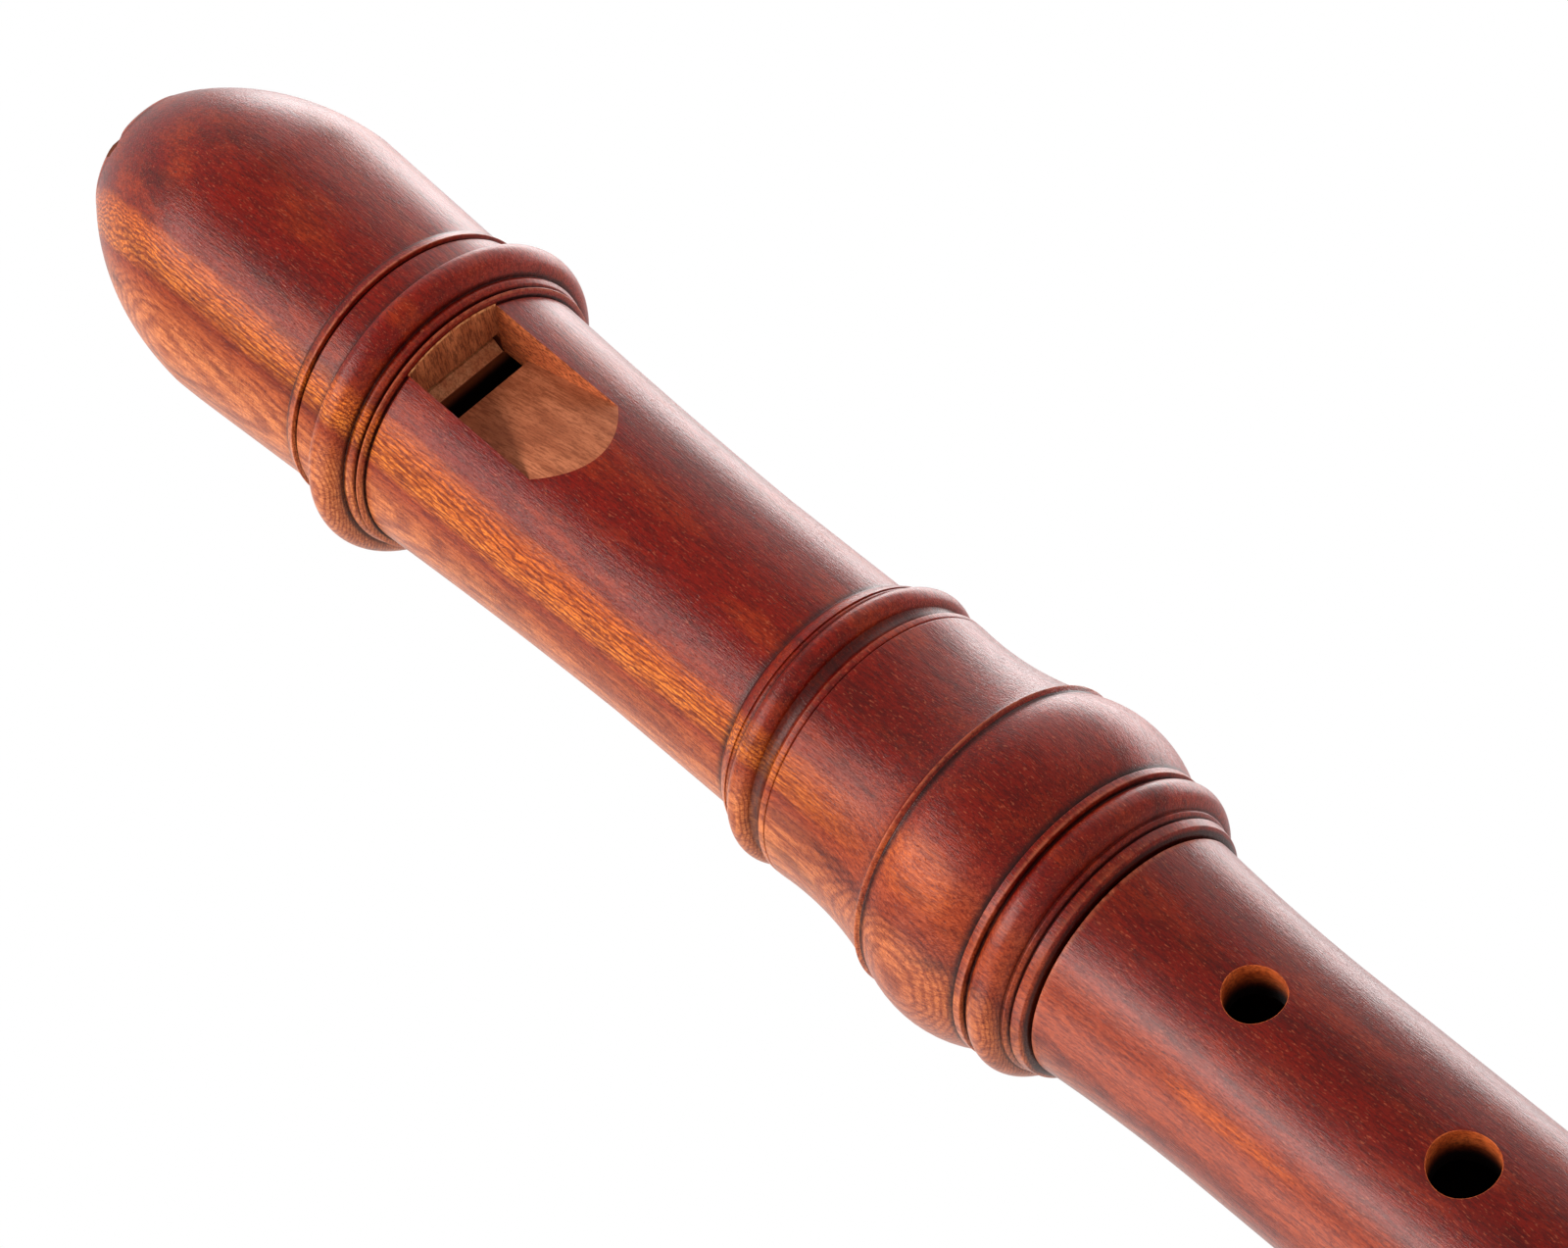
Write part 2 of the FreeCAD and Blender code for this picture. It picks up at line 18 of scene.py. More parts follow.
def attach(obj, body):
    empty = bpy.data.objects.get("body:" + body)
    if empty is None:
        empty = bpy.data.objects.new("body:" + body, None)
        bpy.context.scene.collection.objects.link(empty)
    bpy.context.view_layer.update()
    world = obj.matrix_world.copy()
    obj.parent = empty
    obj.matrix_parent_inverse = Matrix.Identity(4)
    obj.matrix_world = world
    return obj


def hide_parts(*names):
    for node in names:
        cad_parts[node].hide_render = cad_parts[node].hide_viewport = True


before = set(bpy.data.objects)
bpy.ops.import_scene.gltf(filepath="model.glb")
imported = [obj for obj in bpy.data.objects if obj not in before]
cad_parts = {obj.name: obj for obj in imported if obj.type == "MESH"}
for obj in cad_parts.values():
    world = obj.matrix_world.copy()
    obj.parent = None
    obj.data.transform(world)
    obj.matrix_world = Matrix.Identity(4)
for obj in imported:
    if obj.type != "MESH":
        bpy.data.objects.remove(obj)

LOG = logging.getLogger("recorder")
MM = 0.001

# Longest stretch between two points of a section: where it shows, and up a plain bore
FINE_STEP = 0.9
LONG_STEP = 4.0

# Sides of a slot's section that are its walls
SLOT_WALLS = (1, 3)

# A ramp hardly crosses the layers that it runs through
RAMP_SQUEEZE = 0.12

# Settings of a step that eases in and out
EASED = {"interpolation_type": "SMOOTHSTEP"}

Point = tuple[float, float]
Colour = tuple[float, float, float]


def tone(red: float, green: float, blue: float) -> Colour:
    """Turn a colour as a screen shows it, from 0 to 255, into the light that a shader takes."""
    return tuple((part / 255) ** 2.2 for part in (red, green, blue))


def between(low: float, high: float, share: float) -> float:
    """Give the value that lies a share of the way from low to high."""
    return low + (high - low) * share


def placed(name: str, data: bpy.types.ID) -> bpy.types.Object:
    """Put a new object into the scene.

    Args:
        name: Its name.
        data: Its mesh, lamp or camera.

    Returns:
        The object, at the origin.
    """
    made = bpy.data.objects.new(name, data)
    bpy.context.scene.collection.objects.link(made)
    return made


def circle(radius: float, sides: int) -> list[Point]:
    """Give the points of a circle about the origin."""
    turns = (math.tau * index / sides for index in range(sides))
    return [(radius * math.cos(turn), radius * math.sin(turn)) for turn in turns]


class Value:
    """A number in a node tree, on which Python's operators add Math nodes."""

    def __init__(self, nodes: "Nodes", socket: bpy.types.NodeSocket) -> None:
        """Hold the socket."""
        self.nodes = nodes
        self.socket = socket

    def math(self, operation: str, *others: "Value | float") -> "Value":
        """Add one Math node that starts from this number."""
        return self.nodes.maths(operation, self, *others)

    def __add__(self, other: "Value | float") -> "Value":
        """Sum."""
        return self.math("ADD", other)

    def __radd__(self, other: float) -> "Value":
        """Sum with a plain number first."""
        return self.math("ADD", other)

    def __sub__(self, other: "Value | float") -> "Value":
        """Difference."""
        return self.math("SUBTRACT", other)

    def __rsub__(self, other: float) -> "Value":
        """Difference from a plain number."""
        return self.nodes.maths("SUBTRACT", other, self)

    def __mul__(self, other: "Value | float") -> "Value":
        """Product."""
        return self.math("MULTIPLY", other)

    def __rmul__(self, other: float) -> "Value":
        """Product with a plain number first."""
        return self.math("MULTIPLY", other)

    def __truediv__(self, other: "Value | float") -> "Value":
        """Quotient."""
        return self.math("DIVIDE", other)

    def __abs__(self) -> "Value":
        """Size without its sign."""
        return self.math("ABSOLUTE")

    def smooth(self, low: float, high: float) -> "Value":
        """Ease from 0 at low to 1 at high."""
        inputs = {"Value": self, "From Min": low, "From Max": high}
        return self.nodes.value("ShaderNodeMapRange", EASED, inputs, "Result")


class Nodes:
    """Adds nodes to one tree and joins them up."""

    def __init__(self, tree: bpy.types.NodeTree) -> None:
        """Hold the tree."""
        self.tree = tree

    def node(
        self,
        kind: str,
        settings: Mapping[str, object] | None = None,
        inputs: Mapping[str | int, object] | None = None,
    ) -> bpy.types.Node:
        """Add one node, make its settings and then fill or link its sockets.

        Args:
            kind: The node's type.
            settings: The node's own properties; "stops" holds a ramp's places and colours.
            inputs: Values or links by the socket's name or number.

        Returns:
            The node.
        """
        node = self.tree.nodes.new(kind)
        for key, setting in (settings or {}).items():
            if key == "stops":
                self._set_stops(node.color_ramp, setting)
            else:
                setattr(node, key, setting)
        for key, given in (inputs or {}).items():
            socket = node.inputs[key]
            if isinstance(given, Value):
                self.tree.links.new(given.socket, socket)
            elif isinstance(given, bpy.types.NodeSocket):
                self.tree.links.new(given, socket)
            elif isinstance(given, tuple) and len(given) == 3 and socket.type == "RGBA":
                socket.default_value = (*given, 1.0)
            else:
                socket.default_value = given
        return node

    @staticmethod
    def _set_stops(ramp: bpy.types.ColorRamp, stops: Sequence[tuple[float, Colour]]) -> None:
        """Give a colour ramp its stops.

        Args:
            ramp: The ramp.
            stops: Place and colour of each stop, lowest first.
        """
        while len(ramp.elements) < len(stops):
            ramp.elements.new(1.0)
        for element, (place, colour) in zip(ramp.elements, stops):
            element.position = place
            element.color = (*colour, 1.0)

    def value(
        self,
        kind: str,
        settings: Mapping[str, object] | None = None,
        inputs: Mapping[str | int, object] | None = None,
        output: str | int = 0,
    ) -> Value:
        """Add one node and give one of its outputs as a number."""
        return Value(self, self.node(kind, settings, inputs).outputs[output])

    def maths(self, operation: str, *operands: "Value | float") -> Value:
        """Add one Math node."""
        return self.value("ShaderNodeMath", {"operation": operation}, dict(enumerate(operands)))

    def surface(
        self,
        inputs: Mapping[str, object],
        height: Value | None = None,
        strength: float = 0.0,
        depth: float = 0.0,
    ) -> None:
        """End a material in one surface shader, with a bump where a height is given.

        Args:
            inputs: The shader's own inputs.
            height: What stands up and sinks in.
            strength: Strength of the bump.
            depth: Depth of the bump in millimetres.
        """
        given = dict(inputs)
        if height is not None:
            bump = {"Strength": strength, "Distance": depth * MM, "Height": height}
            given["Normal"] = self.node("ShaderNodeBump", None, bump).outputs["Normal"]
        shader = self.node("ShaderNodeBsdfPrincipled", None, given)
        self.node("ShaderNodeOutputMaterial", None, {"Surface": shader.outputs[0]})


def input_of(tree: bpy.types.NodeTree, name: str, kind: str, default: object = None) -> str:
    """Add a named input to a geometry tree.

    Args:
        tree: The tree.
        name: Name of the input.
        kind: Socket type.
        default: Value that it starts with.

    Returns:
        The socket's identifier.
    """
    socket = tree.interface.new_socket(name, in_out="INPUT", socket_type=kind)
    if default is not None:
        socket.default_value = default
    return socket.identifier


class Facing(Enum):
    """Side of the recorder on which a hole opens, as its sign along Y."""

    FRONT = -1
    BACK = 1


class Face(Enum):
    """Order of the finishes that a cutter leaves on a slot."""

    FLOOR = 0
    WALL = 1
    END = 2


class Sawn(Enum):
    """How a bare face lies in the wood."""

    SIDE = "side"
    END = "end"
    RAMP = "ramp"


class Outline:
    """Section of a turned piece as points of radius and height, in millimetres.

    It is drawn down the outside and up the bore, so a positive rise always stands proud of the
    wood and a negative one is a hollow.
    """

    # Degrees: from one point of an arc to the next, least turn of a corner, each step of its round
    ARC_STEP = 5.0
    CORNER = 14.0
    ROUND_STEP = 15.0

    # Most of a stretch that the round of a corner takes
    ROUND_SHARE = 0.4

    def __init__(self, radius: float, height: float) -> None:
        """Start the section.

        Args:
            radius: Radius of its first point.
            height: Height of its first point.
        """
        self.points: list[Point] = [(radius, height)]
        self.bare_from: int | None = None
        self.step = FINE_STEP

    def line(self, radius: float, height: float) -> "Outline":
        """Draw a straight stretch.

        Args:
            radius: Radius where it ends.
            height: Height where it ends.

        Returns:
            The outline itself.
        """
        start_radius, start_height = self.points[-1]
        length = math.hypot(radius - start_radius, height - start_height)
        count = max(1, math.ceil(length / self.step))
        for index in range(1, count + 1):
            share = index / count
            self.points.append((between(start_radius, radius, share), between(start_height, height, share)))
        return self

    def lines(self, *points: Point) -> "Outline":
        """Draw straight stretches one after another.

        Args:
            points: Radius and height where each one ends.

        Returns:
            The outline itself.
        """
        for point in points:
            self.line(*point)
        return self

    def bow(self, radius: float, height: float, rise: float) -> "Outline":
        """Draw an arc whose middle stands proud of its chord.

        Args:
            radius: Radius where it ends.
            height: Height where it ends.
            rise: How far the middle stands proud; negative for a hollow.

        Returns:
            The outline itself.
        """
        start_radius, start_height = self.points[-1]
        across = radius - start_radius
        along = height - start_height
        chord = math.hypot(across, along)
        half_angle = 2 * math.atan2(2 * abs(rise), chord)
        arc_radius = chord / 2 / math.sin(half_angle)
        count = max(2, math.ceil(2 * half_angle / math.radians(self.ARC_STEP)))
        count = max(count, math.ceil(chord / self.step))
        outward = (-along / chord, across / chord)
        for index in range(1, count + 1):
            angle = between(-half_angle, half_angle, index / count)
            reach = arc_radius * math.sin(angle) / chord + 0.5
            lift = math.copysign(arc_radius * (math.cos(angle) - math.cos(half_angle)), rise)
            place = (start_radius + across * reach, start_height + along * reach)
            self.points.append((place[0] + outward[0] * lift, place[1] + outward[1] * lift))
        return self

    def ridge(self, radius: float, height: float, rise: float) -> "Outline":
        """Draw a ridge of two flats, which sanding then rounds.

        Args:
            radius: Radius where it ends.
            height: Height where it ends.
            rise: How far its crest stands proud of the chord; negative for a groove.

        Returns:
            The outline itself.
        """
        start_radius, start_height = self.points[-1]
        crest = ((start_radius + radius) / 2 + rise, (start_height + height) / 2)
        return self.lines(crest, (radius, height))

    def bare(self) -> "Outline":
        """Leave the wood bare from here on, up the bore."""
        self.bare_from = len(self.points) - 1
        return self

    def softened(self, radius: float) -> "Outline":
        """Round every corner a little, as sanding does.

        Args:
            radius: How much of each stretch the round takes.

        Returns:
            A new outline, closed from its last point to its first.
        """
        soft = Outline(*self.points[0])
        soft.points = []
        total = len(self.points)
        for index, here in enumerate(self.points):
            if index == self.bare_from:
                soft.bare_from = len(soft.points)
            before = Vector(self.points[index - 1]) - Vector(here)
            after = Vector(self.points[(index + 1) % total]) - Vector(here)
            turn = math.pi - before.angle(after, math.pi)
            if turn < math.radians(self.CORNER):
                soft.points.append(here)
                continue
            corner = Vector(here)
            start = corner + before.normalized() * min(radius, before.length * self.ROUND_SHARE)
            end = corner + after.normalized() * min(radius, after.length * self.ROUND_SHARE)
            steps = max(2, round(math.degrees(turn) / self.ROUND_STEP))
            for step in range(steps + 1):
                share = step / steps
                place = start.lerp(corner, share).lerp(corner.lerp(end, share), share)
                soft.points.append((place.x, place.y))
        return soft

    def relief(self, reach: float) -> list[float]:
        """Measure how far each point stands proud of the turned work around it.

        Args:
            reach: How far along the outline to look each way.

        Returns:
            Height over the mean of its surroundings for each point, negative in a groove.
        """
        heights = []
        for index, (radius, height) in enumerate(self.points):
            total = weight = 0.0
            for step in (-1, 1):
                here, gone = index, 0.0
                while 0 <= here + step < len(self.points):
                    length = math.dist(self.points[here], self.points[here + step])
                    here += step
                    gone += length
                    if gone > reach:
                        break
                    total += self.points[here][0] * length
                    weight += length
            heights.append(radius - total / weight if weight else 0.0)
        return heights

    def outside_at(self, height: float) -> float:
        """Give the outside radius at a height.

        Args:
            height: Height on the piece.

        Returns:
            Largest radius of the section there.
        """
        found = 0.0
        for (radius, low), (next_radius, high) in zip(self.points, self.points[1:]):
            if low != high and min(low, high) <= height <= max(low, high):
                found = max(found, between(radius, next_radius, (height - low) / (high - low)))
        return found


class Lathe:
    """Geometry tree that turns a section about the bore."""

    # Facets round the bore
    SEGMENTS = 176

    # How far along the section the relief is measured, in millimetres
    RELIEF_REACH = 0.9

    # Distance in metres over which the ends of the sheet join up
    SEAM_REACH = 1e-7

    def __init__(self) -> None:
        """Build the tree with its named inputs."""
        tree = bpy.data.node_groups.new("lathe", "GeometryNodeTree")
        tree.interface.new_socket("Section", in_out="INPUT", socket_type="NodeSocketGeometry")
        self.segments = input_of(tree, "Segments", "NodeSocketInt", self.SEGMENTS)
        self.outer = input_of(tree, "Outer finish", "NodeSocketMaterial")
        self.inner = input_of(tree, "Bore finish", "NodeSocketMaterial")
        input_of(tree, "Seam reach", "NodeSocketFloat", self.SEAM_REACH)
        tree.interface.new_socket("Turned", in_out="OUTPUT", socket_type="NodeSocketGeometry")
        self.tree = tree
        self._wire()

    def _wire(self) -> None:
        """Lay a grid over rows of the section and turns of the spindle, then bend it round."""
        nodes = Nodes(self.tree)
        given = nodes.node("NodeGroupInput").outputs
        segments = Value(nodes, given["Segments"])
        rows = nodes.value("GeometryNodeAttributeDomainSize", {"component": "MESH"}, {0: given["Section"]})
        columns = segments + 1
        counts = {"Size X": 1.0, "Size Y": 1.0, "Vertices X": rows + 1, "Vertices Y": columns}
        grid = nodes.node("GeometryNodeMeshGrid", None, counts)
        index = nodes.value("GeometryNodeInputIndex")
        row = (index / columns).math("FLOOR")
        column = index - row * columns
        angle = column / segments * math.tau
        point = row.math("FLOORED_MODULO", rows)

        def sampled(kind: str, source: bpy.types.NodeSocket) -> Value:
            """Read the section at this row."""
            inputs = {"Geometry": given["Section"], "Value": source, "Index": point}
            return nodes.value("GeometryNodeSampleIndex", {"data_type": kind}, inputs)

        def named(name: str) -> bpy.types.NodeSocket:
            """Read one of the measures that a mesh carries."""
            settings, inputs = {"data_type": "FLOAT"}, {"Name": name}
            return nodes.node("GeometryNodeInputNamedAttribute", settings, inputs).outputs["Attribute"]

        place = sampled("FLOAT_VECTOR", nodes.node("GeometryNodeInputPosition").outputs[0])
        parts = nodes.node("ShaderNodeSeparateXYZ", None, {0: place}).outputs
        radius = Value(nodes, parts["X"])
        round_it = {"X": radius * angle.math("COSINE"), "Y": radius * angle.math("SINE"), "Z": parts["Z"]}
        bent = nodes.value("ShaderNodeCombineXYZ", None, round_it)
        moved = {"Geometry": grid.outputs["Mesh"], "Position": bent}
        shape = nodes.node("GeometryNodeSetPosition", None, moved)
        for name in ("relief", "bare"):
            measure = sampled("FLOAT", named(name))
            stored = {"Geometry": shape.outputs["Geometry"], "Name": name, "Value": measure}
            shape = nodes.node("GeometryNodeStoreNamedAttribute", {"data_type": "FLOAT"}, stored)
        joined = {"Geometry": shape.outputs["Geometry"], "Distance": given["Seam reach"]}
        closed = nodes.node("GeometryNodeMergeByDistance", None, joined)
        shape = nodes.node("GeometryNodeRealizeInstances", None, {"Geometry": closed.outputs["Geometry"]})
        inside = Value(nodes, named("bare")).math("GREATER_THAN", 0.9)
        for material, chosen in (("Outer finish", {}), ("Bore finish", {"Selection": inside})):
            dressed = {"Geometry": shape.outputs["Geometry"], "Material": given[material], **chosen}
            shape = nodes.node("GeometryNodeSetMaterial", None, dressed)
        nodes.node("NodeGroupOutput", None, {0: shape.outputs["Geometry"]})

    def turn(
        self,
        name: str,
        outline: Outline,
        outer: bpy.types.Material,
        inner: bpy.types.Material,
    ) -> bpy.types.Object:
        """Turn an outline into a closed mesh.

        Args:
            name: Name of the piece.
            outline: Its section, drawn down the outside and up the bore.
            outer: Finish of the outside.
            inner: Finish of the bore.

        Returns:
            The turned object, at the origin.
        """
        points = outline.points
        mesh = bpy.data.meshes.new(name)
        places = [(radius * MM, 0.0, height * MM) for radius, height in points]
        mesh.from_pydata(places, [(index, index + 1) for index in range(len(points) - 1)], [])
        bare_from = len(points) if outline.bare_from is None else outline.bare_from
        measures = {
            "relief": outline.relief(self.RELIEF_REACH),
            "bare": [float(index >= bare_from) for index in range(len(points))],
        }
        for key, values in measures.items():
            mesh.attributes.new(key, "FLOAT", "POINT").data.foreach_set("value", values)
        section = placed(name, mesh)
        modifier = section.modifiers.new("lathe", "NODES")
        modifier.node_group = self.tree
        modifier[self.segments] = self.SEGMENTS
        modifier[self.outer] = outer
        modifier[self.inner] = inner
        return made_plain(section)


def made_plain(source: bpy.types.Object) -> bpy.types.Object:
    """Replace an object's mesh by what its modifiers make of it.

    Args:
        source: The object.

    Returns:
        The same object, with a plain mesh and no modifiers.
    """
    bpy.context.view_layer.update()
    graph = bpy.context.evaluated_depsgraph_get()
    mesh = bpy.data.meshes.new_from_object(source.evaluated_get(graph), depsgraph=graph)
    source.modifiers.clear()
    old, source.data = source.data, mesh
    bpy.data.meshes.remove(old)
    mesh.name = source.name
    return source


def shade(piece: bpy.types.Object, sharp: float = 32.0) -> None:
    """Shade a piece smooth, and keep the edges that turn by more than an angle.

    Args:
        piece: The piece.
        sharp: Angle in degrees.
    """
    mesh = piece.data
    mesh.polygons.foreach_set("use_smooth", [True] * len(mesh.polygons))
    mesh.set_sharp_from_angle(angle=math.radians(sharp))
    mesh.update()


class Cutter:
    """Closed meshes that are cut away from a piece."""

    def __init__(self, name: str, *finishes: bpy.types.Material) -> None:
        """Start an empty cutter.

        Args:
            name: Name of the cut.
            finishes: Finishes of the wood that the cut lays bare, in the order of Face.
        """
        self.name = name
        self.finishes = finishes
        self.mesh = bmesh.new()

    def loft(self, rings: Sequence[Sequence[Vector]], walls: Sequence[int] = ()) -> "Cutter":
        """Add a closed solid through rings of equally many points, in millimetres.

        Args:
            rings: The rings, from one end to the other.
            walls: Sides of the rings that take the finish of a wall.

        Returns:
            The cutter itself.
        """
        loops = [[self.mesh.verts.new(point * MM) for point in ring] for ring in rings]
        for low, high in zip(loops, loops[1:]):
            for index in range(len(low)):
                after = (index + 1) % len(low)
                face = self.mesh.faces.new((low[index], low[after], high[after], high[index]))
                face.material_index = self._slot(Face.WALL if index in walls else Face.FLOOR)
        for loop in (list(reversed(loops[0])), loops[-1]):
            self.mesh.faces.new(loop).material_index = self._slot(Face.END)
        return self

    def _slot(self, face: Face) -> int:
        """Give the slot of a face's finish, or the last one that there is."""
        return min(face.value, len(self.finishes) - 1)

    def object(self) -> bpy.types.Object:
        """Turn the cutter into an object with its faces outwards.

        Returns:
            The object, which is deleted once the cut is made.
        """
        bmesh.ops.recalc_face_normals(self.mesh, faces=self.mesh.faces)
        mesh = bpy.data.meshes.new(self.name)
        self.mesh.to_mesh(mesh)
        self.mesh.free()
        for finish in self.finishes:
            mesh.materials.append(finish)
        return placed(self.name, mesh)


def cut(piece: bpy.types.Object, cutters: Iterable[Cutter]) -> None:
    """Cut solids away from a piece, each with its own finish on the new faces.

    Args:
        piece: The piece.
        cutters: What to cut away.
    """
    tools = [cutter.object() for cutter in cutters]
    for tool in tools:
        modifier = piece.modifiers.new(tool.name, "BOOLEAN")
        modifier.operation = "DIFFERENCE"
        modifier.solver = "EXACT"
        modifier.material_mode = "TRANSFER"
        modifier.object = tool
    made_plain(piece)
    for tool in tools:
        bpy.data.objects.remove(tool)


def slot_ring(
    height: float, half_width: float, low: float, high: float, high_half_width: float
) -> list[Vector]:
    """Give the four corners of a slot's section, which faces the front."""
    corners = ((-half_width, low), (half_width, low), (high_half_width, high), (-high_half_width, high))
    return [Vector((across, -front, height)) for across, front in corners]


def eased_ring(height: float, half_width: float, low: float, high: float, ease: float) -> list[Vector]:
    """Give the six corners of a slot's section whose roof corners are eased.

    Args:
        height: Height of the section.
        half_width: Half its width.
        low: Distance of the low side from the bore's middle.
        high: Distance of the roof.
        ease: Width and height of the eased corners.

    Returns:
        The corners, in order.
    """
    side = [(half_width, low), (half_width, high - ease), (half_width - ease, high)]
    right = [Vector((across, -front, height)) for across, front in side]
    left = [Vector((-across, -front, height)) for across, front in reversed(side)]
    return left[-1:] + right + left[:-1]


def prism_rings(points: Sequence[Point], half_width: float) -> list[list[Vector]]:
    """Give the two ends of a prism that lies across the recorder."""
    return [[Vector((side * half_width, -front, height)) for front, height in points] for side in (-1, 1)]


@dataclass(frozen=True)
class Finish:
    """A finish of the recorder, made as one material."""

    name: str

    def material(self) -> bpy.types.Material:
        """Make the material.

        Returns:
            The new material.
        """
        material = bpy.data.materials.new(self.name)
        material.use_nodes = True
        nodes = Nodes(material.node_tree)
        material.node_tree.nodes.clear()
        self.paint(nodes)
        return material

    def paint(self, nodes: Nodes) -> None:
        """Add the finish's nodes."""
        raise NotImplementedError


@dataclass(frozen=True)
class Grain:
    """Places and patterns in the wood, measured in millimetres."""

    nodes: Nodes
    place: bpy.types.NodeSocket

    @classmethod
    def of(cls, nodes: Nodes) -> "Grain":
        """Read the place on the piece.

        Args:
            nodes: Builder of the tree.

        Returns:
            The grain, ready to draw patterns.
        """
        coordinates = nodes.node("ShaderNodeTexCoord").outputs["Object"]
        scaled = {0: coordinates, "Scale": 1 / MM}
        place = nodes.node("ShaderNodeVectorMath", {"operation": "SCALE"}, scaled).outputs[0]
        return cls(nodes, place)

    def laid(self, sawn: Sawn) -> "Grain":
        """Give the grain as it runs on a bare face.

        Args:
            sawn: How the face lies in the wood. Strokes run along Y on an end.

        Returns:
            The grain with its coordinates laid so.
        """
        x, y, z = (self.axis(name) for name in "XYZ")
        turned = {Sawn.SIDE: (x, y, z), Sawn.END: (x, z, y), Sawn.RAMP: (x, y * RAMP_SQUEEZE, z)}[sawn]
        place = self.nodes.node("ShaderNodeCombineXYZ", None, dict(zip("XYZ", turned))).outputs[0]
        return Grain(self.nodes, place)

    def net(self, across: float, along: float, thread: float, waver: Value) -> Value:
        """Draw a net of fine threads that is stretched along the grain.

        Args:
            across: Width of a mesh of the net.
            along: Length of a mesh of the net.
            thread: Thickness of a thread, as a share of a mesh.
            waver: How far the net is pushed about.

        Returns:
            1 on a thread and 0 beside it.
        """
        summed = {0: self.place, 1: waver}
        pushed = self.nodes.node("ShaderNodeVectorMath", {"operation": "ADD"}, summed).outputs[0]
        stretch = {0: pushed, 1: (1 / across, 1 / across, 1 / along)}
        at = self.nodes.node("ShaderNodeVectorMath", {"operation": "MULTIPLY"}, stretch).outputs[0]
        settings, inputs = {"feature": "DISTANCE_TO_EDGE"}, {"Vector": at, "Scale": 1.0}
        return self.nodes.value("ShaderNodeTexVoronoi", settings, inputs).smooth(thread, 0.0)

    def radius(self) -> Value:
        """Measure the distance from the bore's middle."""
        x, y = self.axis("X"), self.axis("Y")
        return (x * x + y * y).math("SQRT")

    def along(self, way: Point) -> Value:
        """Measure how far a place lies along a level direction of X and Y."""
        return self.axis("X") * way[0] + self.axis("Y") * way[1]

    def axis(self, name: str) -> Value:
        """Read one coordinate."""
        parts = self.nodes.node("ShaderNodeSeparateXYZ", None, {0: self.place}).outputs
        return Value(self.nodes, parts[name])

    def noise(
        self,
        across: float,
        along: float,
        detail: float = 2.0,
        roughness: float = 0.5,
        shift: float = 0.0,
    ) -> Value:
        """Draw noise that is stretched along the grain.

        Args:
            across: Size of a blot across the grain.
            along: Size of a blot along the grain.
            detail: Number of finer layers.
            roughness: Strength of the finer layers.
            shift: Offset that gives another pattern.

        Returns:
            The noise, about 0.5.
        """
        stretch = {0: self.place, 1: (1 / across, 1 / across, 1 / along), 2: (shift, shift, shift)}
        at = self.nodes.node("ShaderNodeVectorMath", {"operation": "MULTIPLY_ADD"}, stretch).outputs[0]
        inputs = {"Vector": at, "Scale": 1.0, "Detail": detail, "Roughness": roughness}
        return self.nodes.value("ShaderNodeTexNoise", None, inputs)


def mix(
    nodes: Nodes, factor: Value | float, first: object, second: object, mode: str = "MIX"
) -> bpy.types.NodeSocket:
    """Mix two colours."""
    settings = {"data_type": "RGBA", "blend_type": mode, "clamp_factor": True}
    return nodes.node("ShaderNodeMix", settings, {0: factor, 6: first, 7: second}).outputs[2]


